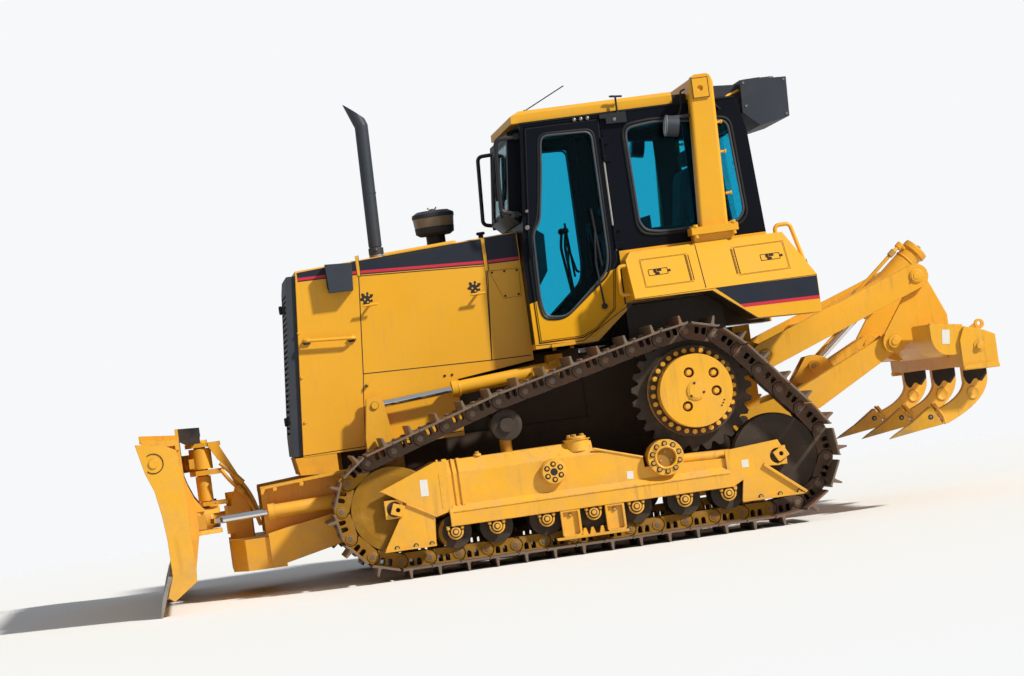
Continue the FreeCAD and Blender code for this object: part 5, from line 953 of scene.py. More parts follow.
# Hood
def hood_trim(side_name, side):
    piece = Piece(side)
    y = HOOD_Y
    # Dark band with its red line, in three fields between yellow strips
    fields = (((2474, 2104), (2074, 2128), (2074, 2037), (2475, 2042)),
              ((2050, 2130), (1214, 2168), (1212, 1993), (2052, 2036)),
              ((1190, 2170), (972, 2178), (972, 1990), (1188, 1992)))
    for top_front, top_rear, low_rear, low_front in fields:
        piece.side_plate([top_front, top_rear, low_rear, low_front], y - 0.5, y + 0.7, "band_dark")
        red = [(low_front[0], low_front[1] + 8), (low_rear[0], low_rear[1] + 8), (low_rear[0], low_rear[1] + 27),
               (low_front[0], low_front[1] + 27)]
        piece.side_plate(red, y, y + 1.3, "line_red")
    for x0, x1, low in ((2052, 2072, 2028), (1190, 1212, 1950)):
        piece.side_plate([(x0, 2165), (x1, 2165), (x1, low), (x0, low)], y - 0.5, y + 4, "yellow_clean")
        piece.strip([(x0 - 3, 2165), (x0 - 3, low)], 4, y, "seam_dark", lift=1.6)
    # Seams round the lift-off panel, the cover below it and the nose
    panel = [(2063, 2028), (2122, 1372), (1249, 1347), (1204, 1984)]
    piece.strip(panel, 6, y, "seam_dark", True, 0.9)
    piece.strip([(2122, 1366), (2140, 1230), (2170, 900)], 5, y, "seam_dark", lift=0.9)
    piece.strip([(2594, 880), (1520, 900)], 5, y, "seam_dark", lift=0.9)
    piece.strip([(1195, 1954), (1249, 1350)], 5, y, "seam_dark", lift=0.9)
    piece.strip([(1249, 1347), (985, 1345)], 6, y, "seam_dark", lift=0.9)
    # Screwed cover behind the panel
    cover = [(1186, 1944), (985, 1938), (993, 1752), (1111, 1750)]
    piece.side_plate(cover, y - 0.5, y + 3, "yellow_clean")
    piece.strip(cover, 4, y + 1, "seam_dark", True, 0.8)
    for x, z in ((1168, 1932), (1085, 1930), (1000, 1927), (1008, 1765), (1100, 1764)):
        piece.drum((x, y + 2, z), (x, y + 6, z), 8, "seam_dark", 10, 1)
    # Latches: a pierced round plate, a stem and a T handle
    for x, z in ((2030, 1868), (1300, 1846)):
        rosette = []
        for k in range(48):
            turn = 2 * math.pi * k / 48
            r = 38 + 9 * math.cos(7 * turn) + 4 * math.sin(3 * turn)
            rosette.append((x + r * math.cos(turn), z + r * 1.1 * math.sin(turn)))
        piece.side_plate(rosette, y - 0.5, y + 2, "seam_dark")
        for dx, dz in ((-16, 22), (6, 28), (-24, -4), (14, -2), (-4, -22)):
            piece.drum((x + dx, y + 1, z + dz), (x + dx, y + 2.6, z + dz), 6.5, "yellow_clean", 10)
        piece.drum((x - 14, y, z - 40), (x - 14, y + 60, z - 46), 9, "yellow_clean", 12, 1)
        piece.drum((x + 40, y + 62, z - 46), (x - 62, y + 62, z - 44), 8.5, "yellow_clean", 12, 2)
    for x in (1580, 1530):
        piece.drum((x, y, 1285), (x, y + 5, 1285), 9, "seam_dark", 10, 1)
    piece.side_plate([(2118, 1300), (2098, 1288), (2118, 1276)], y, y + 26, "seam_dark")
    # Rolled lip over the band between stack and precleaner; the dark strip under it is the lip's shadow, painted
    piece.pipe([(1870, y - 14, 2146), (1400, y - 14, 2168), (1390, y - 24, 2170)], 15, "yellow_clean", 8, 10)
    piece.strip([(1862, 2122), (1420, 2143)], 10, y, "seam_dark", lift=1.2)
    # Lamp box front
    piece.box(2262, 2268, y + 14, y + 82, 1964, 2102, "lamp_lens")
    piece.pipe([(2282, y + 14, 1966), (2282, y + 82, 1966), (2282, y + 82, 2098), (2282, y + 14, 2098)], 4,
               "plastic_black", 6, 6, True)
    # Feet of the nose rail
    for x, z in ((2470, 1642), (2168, 1621)):
        piece.drum((x, y, z), (x, y + 6, z), 24, "yellow_clean", 16, 2)
        piece.side_plate([(x - 30, z - 8), (x + 30, z - 8), (x + 20, z - 26), (x - 20, z - 26)], y, y + 16, "seam_dark")
    # Bolts of the nose
    for z in (1700, 1400, 1100):
        piece.bolt((2560 - (z - 1000) * 0.06, y, z), (0, 1, 0), 14, "yellow_clean")
    return piece.make("hood_trim_" + side_name, "chassis", "yellow")


def hood_top():
    piece = Piece()
    # Caps ahead of the windscreen
    piece.drum((1169, 100, 2172), (1169, 100, 2216), 17, "plastic_black", 14, 1)
    piece.drum((1169, 100, 2214), (1169, 100, 2234), 30, "plastic_black", 20, 5)
    piece.drum((985, 190, 2180), (985, 190, 2204), 40, "plastic_black", 20, 6)
    # Stack clamp and rusty foot
    piece.drum((1893, 0, 2135), (1892.5, 0, 2178), 50, "edge_worn", 24, 2)
    piece.drum((1892, 0, 2178), (1891, 0, 2226), 52, "stack_blue", 24, 3)
    piece.drum((1892, 40, 2212), (1892, 72, 2212), 7, "bolt_steel", 10, 1)
    piece.drum((1884, 0, 2600), (1883.6, 0, 2612), 47.5, "stack_blue", 24, 1)
    # Precleaner: base, neck, lower rings, clear ring, cap and wing nut
    x, y = 1466, -50
    for low, high, r0, r1, look in ((2150, 2200, 62, 62, "yellow_clean"), (2200, 2262, 66, 66, "plastic_black"),
                                    (2260, 2276, 108, 128, "box_grey"), (2276, 2318, 133, 137, "box_grey"),
                                    (2318, 2384, 136, 143, "bowl_tan"), (2384, 2410, 147, 146, "box_grey"),
                                    (2410, 2430, 143, 112, "box_grey")):
        piece.drum((x, y, low), (x, y, high), r0, look, 40, 1.5, r1)
    piece.drum((x, y, 2428), (x, y, 2446), 9, "bolt_steel", 10, 1)
    for s in (-1, 1):
        piece.pipe([(x, y, 2440), (x + s * 22, y, 2440), (x + s * 30, y, 2456)], 5, "bolt_steel", 8, 6)
    piece.pipe([(806, 600, 2966), (800, 600, 2984), (524, 600, 3116)], 4, "plastic_black", 6, 6)
    piece.drum((806, 600, 2970), (804, 600, 2986), 14, "plastic_black", 12, 2)
    # Grille: knobs and their rims
    for z in (1878, 1120):
        xk = 2560 + (1878 - z) * 0.086
        piece.drum((xk - 20, 200, z), (xk + 48, 200, z), 17, "plastic_black", 16, 2)
        piece.drum((xk + 34, 200, z), (xk + 56, 200, z), 30, "plastic_black", 20, 5)
    return piece.make("hood_top_trim", "chassis", "dark_plastic", "precleaner")


# Cab
DOOR_WINDOW = [(398, 2778), (398, 1946), (420, 1828), (728, 1566), (872, 1580), (892, 1701), (880, 2145), (822, 2225),
               (770, 2545), (742, 2790)]
REAR_WINDOW = [(168, 2770), (-40, 2790), (-530, 2735), (-562, 2110), (-500, 2044), (30, 2050), (120, 2070), (156, 2130)]


def cab_trim(side_name, side):
    piece = Piece(side)
    piece.bead(REAR_WINDOW, CAB_Y + 2, 9, "rubber_grey", 60)
    wide = [(x + (20 if x > -180 else -20), z + (20 if z > 2400 else -20)) for x, z in REAR_WINDOW]
    piece.bead(wide, CAB_Y + 1, 10, "rubber_black", 70)
    piece.box(-384, -226, 668, 684, 2046, 2786, "plastic_black")
    # Gutter over the door and the clip under the roof
    piece.side_plate([(330, 2880), (150, 2880), (150, 2808), (290, 2812), (290, 2850), (330, 2852)], CAB_Y - 4, CAB_Y + 26,
                     "plastic_black")
    piece.drum((232, CAB_Y + 26, 2836), (232, CAB_Y + 30, 2836), 12, "bolt_steel", 12, 1)
    piece.pipe([(205, CAB_Y + 12, 2870), (205, CAB_Y + 20, 2990), (250, CAB_Y + 20, 2992), (160, CAB_Y + 20, 2984)], 7,
               "plastic_black", 14, 8)
    for x in (500, 455, 410):
        piece.ball((x, CAB_Y + 8, 2868), 15, "bolt_steel")
    piece.strip([(870, 2888), (-590, 2888)], 8, CAB_Y, "rubber_black", lift=6)
    # Yellow step under the door, its brackets in painted shade and the lower cab seams
    piece.box(700, 862, CAB_Y - 2, CAB_Y + 34, 1372, 1394, "yellow_clean", 6)
    for x in (722, 840):
        piece.box(x - 9, x + 9, CAB_Y - 60, CAB_Y + 10, 1352, 1376, "yellow_shade")
    piece.strip([(960, 1400), (640, 1390), (300, 1590)], 5, CAB_Y, "seam_dark", lift=1)
    # Front corner: hinge blocks of the grab tube and lamp of the windscreen post
    for z in (2812, 2292):
        piece.box(950 if z < 2500 else 872, 1000 if z < 2500 else 912, 650, 680, z - 20, z + 20, "plastic_black", 5)
    return piece.make("cab_trim_" + side_name, "chassis", "dark_plastic")


def bay_trim():
    """Near-black blocks of painted shade filling the bay between the case and the cab's floor, and hoses in it."""
    piece = Piece()
    piece.side_plate([(274, 1352), (952, 1352), (952, 1376), (548, 1376), (290, 1586), (274, 1586)], -284, 284, "deep_dark")
    piece.side_plate([(954, 1356), (1540, 1352), (1540, 1238), (1300, 1234), (954, 1298)], -300, 300, "deep_dark")
    for side in (-1, 1):
        for x, drop in ((330, 0), (372, 24), (420, 60), (470, 96)):
            piece.pipe([(x, side * 292, 1570 - drop), (x + 20, side * 318, 1480 - drop * 0.8), (x + 60, side * 322, 1400),
                        (x + 190, side * 316, 1366)], 13, "rubber_black", 40, 8)
        for x in (1010, 1080, 1190):
            piece.pipe([(x, side * 306, 1340), (x + 60, side * 322, 1310), (x + 170, side * 318, 1262)], 11, "rubber_black", 40, 8)
        piece.bolt((300, side * 284, 1560), (0, side, 0), 26)
    return piece.make("bay_trim", "chassis", "dark_steel")


def windscreen_trim():
    """Seals and wipers of the windscreen and the rear window, and what hangs from the cab's front."""
    piece = Piece()
    front = [(CAB_X + 30, -540, 2330), (CAB_X + 30, 540, 2330), (936, 540, 2800), (936, -540, 2800)]
    piece.pipe(front, 13, "rubber_grey", 50, 8, True)
    rear = [(-693, -520, 2060), (-693, 520, 2060), (-646, 520, 2700), (-646, -520, 2700)]
    piece.pipe(rear, 13, "rubber_grey", 50, 8, True)
    for sign in (-1, 1):
        piece.drum((1016, sign * 230, 2318), (1028, sign * 230, 2318), 20, "plastic_black", 16, 3)
        piece.pipe([(1026, sign * 230, 2318), (1010, sign * 120, 2560), (1000, sign * 110, 2600)], 6, "plastic_black", 20, 8)
        piece.pipe([(1007, sign * 60, 2440), (976, sign * 170, 2740)], 8, "rubber_black", 10, 8)
    piece.drum((-706, 0, 2690), (-694, 0, 2690), 20, "plastic_black", 16, 3)
    piece.pipe([(-704, 0, 2690), (-712, 130, 2420), (-714, 140, 2380)], 6, "plastic_black", 20, 8)
    piece.pipe([(-708, 60, 2560), (-716, 210, 2240)], 8, "rubber_black", 10, 8)
    # Steering and working levers, and the mirror over the driver
    for y, lean in ((250, 0.0), (180, 20.0)):
        piece.pipe([(600, y, 1700), (620 + lean, y, 2050), (600 + lean, y - 20, 2150)], 10, "plastic_black", 30, 8)
        piece.ball((600 + lean, y - 20, 2160), 24, "plastic_black")
    piece.box(820, 834, -150, 150, 2700, 2770, "plastic_black", 8)
    return piece.make("window_trim", "chassis", "dark_plastic")


CAB_X = 966.0


def door_trim(side_name, side):
    piece = Piece(side)
    y = DOOR_Y
    piece.bead(DOOR_WINDOW, y + 1, 8, "rubber_grey", 55)
    wide = [(x + (16 if x > 650 else -16), z + (14 if z > 2150 else -14)) for x, z in DOOR_WINDOW]
    piece.bead(wide, y - 1, 8, "rubber_black", 60)
    door = [(335, 2856), (335, 1895), (364, 1850), (402, 1575), (545, 1454), (640, 1416), (930, 1416), (936, 1945), (842, 2856)]
    piece.pipe([(x, y - 26, z) for x, z in door], 11, "rubber_black", 12, 8, True)
    inside = [(343, 2848), (343, 1897), (372, 1852), (410, 1579), (548, 1462), (642, 1424), (922, 1424), (928, 1945), (835, 2848)]
    piece.strip(inside, 4, y, "rubber_black", True, 1.5)
    piece.pipe([(338, y - 4, 1960), (338, y - 2, 2700)], 7, "edge_pale", 1, 8)
    # Wiper, its motor, the outer handle and its lock
    piece.drum((470, y, 1600), (470, y + 30, 1600), 20, "plastic_black", 16, 3)
    piece.pipe([(470, y + 26, 1600), (492, y + 30, 1900), (470, y + 30, 2100)], 7, "plastic_black", 30, 8)
    piece.pipe([(452, y + 22, 1870), (476, y + 22, 2260)], 8, "rubber_black", 10, 8)
    piece.drum((914, y + 2, 2190), (914, y + 14, 2190), 16, "bolt_steel", 16, 2)
    piece.drum((902, y + 2, 2300), (902, y + 12, 2300), 11, "bolt_steel", 14, 2)
    piece.pipe([(836, y - 44, 2750), (836, y - 70, 2740), (790, y - 74, 2560), (790, y - 48, 2550)], 8, "plastic_black", 16, 8)
    piece.pipe([(430, y - 48, 1900), (450, y - 80, 1910), (500, y - 80, 2150), (480, y - 48, 2160)], 9, "plastic_black", 20, 8)
    return piece.make("door_trim_" + side_name, "door_" + side_name, "dark_plastic")


# Rear: posts, fenders, box behind the roof
def slope_z(y):
    return 1931.0 - 316.0 * (y - 900.0) / 230.0


def fender_trim(side_name, side):
    piece = Piece(side)
    y = 1130.0
    piece.side_plate([(-225, 1612), (-401, 1462), (-911, 1452), (-911, 1606)], y - 0.5, y + 0.8, "band_dark")
    piece.side_plate([(-376, 1484), (-401, 1462), (-911, 1452), (-911, 1474)], y, y + 1.4, "line_red")
    piece.strip([(-201, 1600), (-478, 1382)], 5, y, "seam_dark", lift=0.8)
    piece.strip([(314, 1612), (-913, 1612)], 3, y, "seam_dark", lift=0.5)
    # Joint between the two lockers on top
    seam = [(905, slope_z(905)), (1124, slope_z(1124)), (1126, slope_z(1124) + 1), (906, slope_z(905) + 1.2)]
    piece.prism(seam, (-168, 0, 0), (0, 1, 0), (0, 0, 1), (1, 0, 0), 5, "seam_dark")
    # Post foot bolts, studs behind the post, plate with its lifting hole
    for x in (-440, -183):
        for yy in (776, 924):
            piece.bolt((x, yy, 2034), (0, 0, 1), 30, "yellow_clean")
            piece.drum((x, yy, 1960), (x, yy, 1986), 15, "yellow_clean", 10, 2)
    for z in (2240, 2520, 2720):
        piece.drum((-430, 850, z), (-470, 850, z), 9, "yellow_clean", 10, 1)
        piece.drum((-462, 850, z), (-472, 850, z), 13, "yellow_clean", 10, 1)
    piece.strip([(-294, 2893), (-294, 3026), (-402, 3026), (-402, 2893)], 5, 913, "seam_dark", True, 1.2)
    # Work lamp: rim, glass and cable
    piece.drum((-100, 832, 2740), (-88, 832, 2742), 72, "lamp_shell", 28, 3)
    piece.drum((-90, 832, 2742), (-84, 832, 2743), 60, "lamp_lens", 28, 2)
    piece.pipe([(-170, 832, 2760), (-215, 830, 2850), (-225, 815, 2960), (-260, 800, 2970)], 6, "rubber_black", 30, 8)
    # Rear lamp behind the post
    piece.drum((-905, 820, 1700), (-918, 820, 1700), 34, "lamp_shell", 20, 3)
    piece.drum((-916, 820, 1700), (-920, 820, 1700), 27, "lamp_lens", 20, 1)
    return piece.make("fender_trim_" + side_name, "chassis", "yellow")


def lid_trim(side_name, side):
    """Latch and piano hinge of each locker lid; each rides on its own lid."""
    for row, front, rear, hinge_x, latch_x in (("front", 226, -92, -92, 120), ("rear", -404, -748, -404, -640)):
        piece = Piece(side)
        across = Vector((0, 230.0, -316.0)).normalized()
        out = Vector((0, 316.0, 230.0)).normalized()
        middle = Vector(((front + rear) / 2, 1015, slope_z(1015)))
        half_x = (front - rear) / 2 - 4
        high = Vector((0, 945, slope_z(945))) - Vector((0, 1015, slope_z(1015)))
        reach = high.length - 4
        frame_line = rounded([(-half_x, -reach), (half_x, -reach), (half_x, reach), (-half_x, reach)], 18, 3)
        inner = rounded([(-half_x + 2.5, -reach + 2.5), (half_x - 2.5, -reach + 2.5), (half_x - 2.5, reach - 2.5),
                         (-half_x + 2.5, reach - 2.5)], 16, 3)
        piece.prism(frame_line, middle - out * 0.3, (1, 0, 0), across, out, 0.9, "seam_dark", [inner])
        latch = Vector((latch_x, 1015, slope_z(1015)))
        rim = [(-66, -27), (66, -27), (66, 27), (-66, 27)]
        well = [(-62, -23), (62, -23), (62, 23), (-62, 23)]
        piece.prism(rounded(rim, 6, 2), latch, (1, 0, 0), across, out, 2.2, "seam_dark", [rounded(well, 5, 2)])
        for u0, u1, v0, v1 in ((-24, 6, -21, -4), (-8, 22, 2, 21), (10, 30, -21, 4), (-84, -68, -9, 9)):
            piece.prism([(u0, v0), (u1, v0), (u1, v1), (u0, v1)], latch, (1, 0, 0), across, out, 2.4, "deep_dark")
        for dx in (-13, 9):
            line = [(hinge_x + dx - middle.x, -reach + 6), (hinge_x + dx - middle.x + 5, -reach + 6),
                    (hinge_x + dx - middle.x + 5, reach - 6), (hinge_x + dx - middle.x, reach - 6)]
            piece.prism(line, middle, (1, 0, 0), across, out, 1.6, "deep_dark")
        start = Vector((hinge_x, 1015, slope_z(1015))) - across * (reach - 10) + out * 1
        for k in range(9):
            a = start + across * (2 * (reach - 10) / 9) * k
            piece.drum(a, a + across * (2 * (reach - 10) / 9 - 3), 5, "yellow_clean", 10, 0.8)
        piece.make("lid_trim_" + row + "_" + side_name, "locker_lid_" + row + "_" + side_name, "yellow")


def roof_box_trim():
    piece = Piece()
    # Fan rings on the box, corner bolts, pipes to the cab
    for y in (-240, 240):
        piece.drum((-860, y, 3004), (-861, y, 3022), 130, "plastic_black", 36, 4)
        for r in (30, 60, 90, 115):
            ring = [(-861 + r * math.cos(2 * math.pi * k / 20), y + r * math.sin(2 * math.pi * k / 20), 3024) for k in range(20)]
            piece.pipe(ring, 3, "bolt_steel", 1, 6, True)
    for side in (-1, 1):
        for x, z in ((-720, 2990), (-1000, 2980), (-990, 2745), (-720, 2830)):
            piece.drum((x, side * 479, z), (x, side * 484, z), 9, "bolt_steel", 10, 1)
    for y, drop in ((250, 0), (190, -30), (-250, 0)):
        piece.pipe([(-690, y, 2860 + drop), (-640, y, 2840 + drop), (-600, y, 2870), (-560, y, 2890)], 15, "rubber_black", 30, 10)
    piece.pipe([(-695, 420, 2950), (-600, 430, 2920), (-560, 560, 2860), (-520, 640, 2850)], 9, "yellow_clean", 30, 8)
    piece.pipe([(-440, 780, 2860), (-560, 640, 2760), (-610, 560, 2700)], 8, "plastic_black", 40, 8)
    # Beam end plates and blocks between roof and beam
    for y in (-560, 560):
        piece.box(-292, -180, y - 40, y + 40, 2900, 2960, "plastic_black", 6)
    return piece.make("roof_box_trim", "chassis", "black")


# Blade and its frame
def blade_trim():
    piece = Piece()
    for y in (-1450, -1160, -870, -580, -290, 0, 290, 580, 870, 1160, 1450):
        for dy in (-60, 60):
            at = (3598, y + dy, 195)
            piece.drum(at, (3606, y + dy, 198), 17, "edge_worn", 12, 3)
    for side in (-1, 1):
        piece.box(3390, 3410, side * 1300 - 70, side * 1300 + 70, 560, 568, "yellow_working")
        # Dark ring round the pad on each end plate, and the clevis pin's keeper
        piece.pipe([(3579 + 62 * math.cos(a / 6), side * 1638.5, 975 + 62 * math.sin(a / 6)) for a in range(6, 34)], 3,
                   "deep_dark", 2, 6)
        piece.box(3200, 3260, side * 640 - 12, side * 640 + 40, 634, 646, "yellow_working", 4)
        piece.bolt((3212, side * 660, 646), (0, 0, 1), 18)
    return piece.make("blade_trim", "blade", "yellow")


def push_frame_trim():
    piece = Piece()
    for side in (-1, 1):
        # Hydraulic tubes with sleeves beside the tower
        for lift, y in ((0, 96), (-70, 118)):
            line = [(3150, side * y, 905 + lift * 0.6), (3100, side * y, 850 + lift), (3010, side * y, 745 + lift),
                    (2960, side * y, 640 + lift), (2930, side * y, 520 + lift)]
            piece.pipe(line, 13, "yellow_working", 60, 12)
            a, b = Vector(line[1]), Vector(line[2])
            piece.drum(a + (b - a) * 0.45, a + (b - a) * 0.95, 24, "yellow_working", 16, 4)
        piece.drum((EAR[0], side * 650, EAR[1]), (EAR[0], side * 652, EAR[1]), 27, "deep_dark", 22)
        piece.drum((EAR[0], side * 650, EAR[1]), (EAR[0], side * 656, EAR[1]), 21, "yellow_working", 20, 2)
        piece.drum((1250, side * 661, 560), (1250, side * 668, 560), 60, "yellow_working", 26, 4)
        for k in range(4):
            a = math.radians(45 + 90 * k)
            piece.bolt((1250 + 42 * math.cos(a), side * 667, 560 + 42 * math.sin(a)), (0, side, 0), 18)
        piece.bolt((2640, side * 649, 700), (0, side, 0), 24, "yellow_working")
        piece.bolt((2820, side * 649, 690), (0, side, 0), 24, "yellow_working")
    piece.bolt((3270, 50, 1060), (0, 0, 1), 24)
    piece.bolt((3330, -50, 1060), (0, 0, 1), 24)
    return piece.make("push_frame_trim", "c_frame", "yellow")


EAR = (2083.0, 1150.0)


def cylinder_trim(side_name, side):
    """Gland rings of the lift and angle cylinders, and ports of the lift cylinders."""
    a = Vector((845, 600, 1236))
    unit = (Vector((2083, 600, 1150)) - a).normalized()
    piece = Piece(side)
    piece.drum(a + unit * 655, a + unit * 665, 58, "yellow_clean", 28, 2)
    piece.drum(a + unit * 704, a + unit * 712, 52, "yellow_clean", 28, 2)
    for at in (92, 640):
        piece.drum(a + unit * at, a + unit * at + Vector((0, -62, 0)), 15, "yellow_clean", 12, 2)
    for at in (126, 152):
        piece.drum(a + unit * at, a + unit * (at + 6), 51, "yellow_clean", 26, 2)
    piece.make("lift_barrel_trim_" + side_name, "lift_barrel_" + side_name, "yellow")
    b = Vector((2150, 588, 560))
    unit = (Vector((3225, 640, 537)) - b).normalized()
    piece = Piece(side)
    piece.drum(b + unit * 684, b + unit * 692, 56, "yellow_working", 26, 2)
    piece.drum(b + unit * 733, b + unit * 740, 48, "yellow_working", 26, 2)
    piece.make("angle_barrel_trim_" + side_name, "angle_barrel_" + side_name, "yellow")


# Ripper
def three_point_arc(a, b, c, steps):
    """Points on the parabola through three (x, z) points."""
    line = []
    for k in range(steps + 1):
        t = k / steps
        wa, wb, wc = (1 - t) * (1 - 2 * t), 4 * t * (1 - t), t * (2 * t - 1)
        line.append((wa * a[0] + wb * b[0] + wc * c[0], wa * a[1] + wb * b[1] + wc * c[1]))
    return line


def ripper_trim():
    pin = Vector((-1011, 0, 1009))
    hang = Vector((-1560, 0, 1467))
    unit = (hang - pin).normalized()
    up = Vector((-unit.z, 0, unit.x)) * -1
    reach = (hang - pin).length
    barrel = Piece()
    end = pin + unit * (reach + 400)
    barrel.drum(end - unit * 46, end - unit * 2, 90, "yellow_working", 30, 6)
    barrel.drum(end - unit * 120, end - unit * 108, 83, "yellow_working", 30, 3)
    for y in (-50, 50):
        barrel.bolt(end + Vector((0, y, 0)) - unit * 2, unit, 26)
    top = end - unit * 70
    near = pin + unit * (reach - 150)
    for y in (84,):
        line = [top + up * 60 + Vector((0, y * 0.4, 0)), top + up * 110 + Vector((0, y * 0.7, 0)),
                top - unit * 90 + up * 118 + Vector((0, y, 0)), near + up * 118 + Vector((0, y, 0)),
                near - unit * 60 + up * 96 + Vector((0, y * 0.8, 0))]
        barrel.pipe(line, 13, "yellow_working", 34, 12)
        for at in (line[2], line[3]):
            barrel.drum(at - unit * 26, at + unit * 26, 22, "bolt", 12, 4)
        barrel.drum(line[1] - unit * 34, line[1] + unit * 12, 26, "yellow_working", 14, 5)
    barrel.make("ripper_barrel_trim", "ripper_barrel", "yellow")
    link = Piece()
    for s in (-1, 1):
        for x, z, r in ((-609, 1125, 46), (-1716, 1523, 50)):
            link.drum((x, s * 528, z), (x, s * 538, z), r, "yellow_working", 26, 4)
            link.drum((x, s * 537, z), (x, s * 544, z), r * 0.5, "yellow_working", 20, 3)
            link.bolt((x + 30, s * 538, z - 20), (0, s, 0), 14)
        for x, z in ((-1530, 1545), (-1600, 1560)):
            link.drum((x, s * 152, z - 50), (x, s * 158, z - 50), 12, "bolt", 10, 2)
    link.make("upper_link_trim", "ripper_upper_link", "yellow")
    low = Piece()
    for s in (-1, 1):
        low.drum((-1011, s * 104, 1009), (-1011, s * 110, 1009), 40, "yellow_working", 24, 3)
        low.drum((-1011, s * 109, 1009), (-1011, s * 114, 1009), 18, "bolt", 18, 2)
        low.pipe([(-1440, s * 388, 1150), (-820, s * 388, 850)], 6, "yellow_working", 1, 6)
    low.make("lower_link_trim", "ripper_lower_link", "yellow")
    back = Piece()
    for s in (-1, 1):
        back.drum((-1514, s * 488, 1099), (-1514, s * 496, 1099), 46, "yellow_working", 24, 4)
        back.drum((-1514, s * 495, 1099), (-1514, s * 502, 1099), 24, "yellow_working", 20, 2)
        bow = three_point_arc((-1628, 1095), (-1662, 1002), (-1745, 962), 8)
        plate = [(-1850, 1150), (-1640, 1182), (-1627, 1170)] + bow + [(-1850, 958)]
        back.side_plate(plate, *sorted((s * 540, s * 1070)), "yellow_working")
        rim = [(x, z + (3 if z > 1100 else -3)) for x, z in plate]
        back.side_plate(rim, *sorted((s * 1062, s * 1082)), "yellow_working")
        label = [(-1708, 1134), (-1760, 1128), (-1748, 1034), (-1698, 1040)]
        back.side_plate(label, *sorted((s * 1081, s * 1083.5)), "label_white")
        flange = [(-1814, 870), (-1814, 852), (-2056, 840), (-2056, 862), (-2040, 884), (-1830, 880)]
        back.side_plate(flange, *sorted((s * 1060, s * 1128)), "yellow_working")
        eye = circle(-2008, 1142, 34, 18)
        back.side_plate(eye, *sorted((s * 892, s * 912)), "yellow_working", [circle(-2008, 1146, 14, 12)[::-1]])
        back.drum((-1939, s * 1104, 995), (-1939, s * 1110, 995), 40, "yellow_working", 24, 3)
        back.drum((-1939, s * 1109, 995), (-1939, s * 1130, 995), 22, "yellow_working", 16, 4)
    for y in (-895, 0, 895):
        back.box(-2058, -1830, y - 60, y + 60, 868, 884, "yellow_working", 4)
        back.drum((-1930, y - 70, 1000), (-1930, y + 70, 1000), 24, "yellow_working", 18, 4)
    back.make("carriage_trim", "ripper_carriage", "yellow")
    tips = Piece()
    front = three_point_arc((-1847, 760), (-1772, 668), (-1610, 600), 10)
    rear = three_point_arc((-1697, 508), (-1930, 640), (-2010, 800), 12)
    blade = [(-2010, 1120), (-1847, 1120)] + front + rear
    # Near-black wavy field on the top of each shank's sides: painted shade under the beam, together with worn paint
    root = [(-2010, 862), (-1847, 862), (-1847, 806), (-1858, 770), (-1876, 748), (-1890, 752), (-1912, 778), (-1930, 782),
            (-1948, 764), (-1968, 758), (-1984, 776), (-2009, 806)]
    # Corners of the point with half its thickness there
    point = ((-1596, 636, 50), (-1660, 506, 50), (-1520, 488, 47), (-1294, 455, 14), (-1330, 478, 22), (-1450, 540, 42))
    for y in (-895, 0, 895):
        tips.side_plate(blade, y - 37, y + 37, "yellow_working")
        for s in (-1, 1):
            yy = y + s * 50
            tips.drum((-1585, yy - s * 3, 566), (-1585, yy + s * 2, 566), 17, "deep_dark", 16)
            tips.drum((-1585, yy, 566), (-1585, yy + s * 4, 566), 9, "bolt_steel", 12, 1)
            tips.pipe([(-1618, yy - s * 6, 650), (-1668, yy - s * 6, 572), (-1680, yy - s * 6, 506)], 9, "yellow_working", 30, 8)
            tips.dish((-1898, y + s * 37, 690), (0, s, 0), 44, 9)
            tips.side_plate(root, y + s * 37 - 0.5, y + s * 37 + 0.9, "deep_dark")
        corners = [(x, y + s * half, z) for s in (-1, 1) for x, z, half in point]
        n = len(point)
        sides = [[0, 1, 2, 5], [2, 3, 4, 5], [n, n + 5, n + 2, n + 1], [n + 2, n + 5, n + 4, n + 3]]
        sides += [[i, (i + 1) % n, (i + 1) % n + n, i + n] for i in range(n)]
        tips.add(corners, sides, "tip_paint")
    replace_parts(tips.make("shanks", "ripper_carriage", "yellow"), "ripper_shanks")


# Seat
def swollen(made, voxel, cap):
    """Cloth pass: an even mesh of the pad swells under pressure, no point farther than cap metres; then it is applied."""
    even = made.modifiers.new("Even", "REMESH")
    even.mode = "VOXEL"
    even.voxel_size = voxel
    even.use_smooth_shade = True
    mesh = bpy.data.meshes.new_from_object(made.evaluated_get(bpy.context.evaluated_depsgraph_get()))
    made.modifiers.clear()
    made.data = mesh
    start = [vertex.co.copy() for vertex in mesh.vertices]
    cloth = made.modifiers.new("Cloth", "CLOTH")
    settings = cloth.settings
    settings.quality = 4
    settings.use_pressure = True
    settings.uniform_pressure_force = 4.0
    settings.tension_stiffness = settings.compression_stiffness = 12.0
    settings.effector_weights.gravity = 0.0
    for frame in range(1, 21):
        bpy.context.scene.frame_set(frame)
    moved = made.evaluated_get(bpy.context.evaluated_depsgraph_get()).to_mesh()
    places = [vertex.co.copy() for vertex in moved.vertices]
    made.modifiers.clear()
    bpy.context.scene.frame_set(1)
    for vertex, old, new in zip(mesh.vertices, start, places):
        step = new - old
        if step.length > cap:
            step *= cap / step.length
        vertex.co = old + step
    mesh.update()


def sewn(made, normal, along, spots, middle, thick):
    """Channels pressed into both faces of a pad, at shares of the axis along."""
    length = along.length
    ahead = along / length
    for vertex in made.data.vertices:
        local = vertex.co - middle
        share = local.dot(ahead) / length + 0.5
        depth = sum(math.exp(-((share - spot) / 0.016) ** 2) for spot in spots) * thick * 0.09
        high = local.dot(normal)
        vertex.co -= normal * math.copysign(min(depth, abs(high) * 0.5), high)


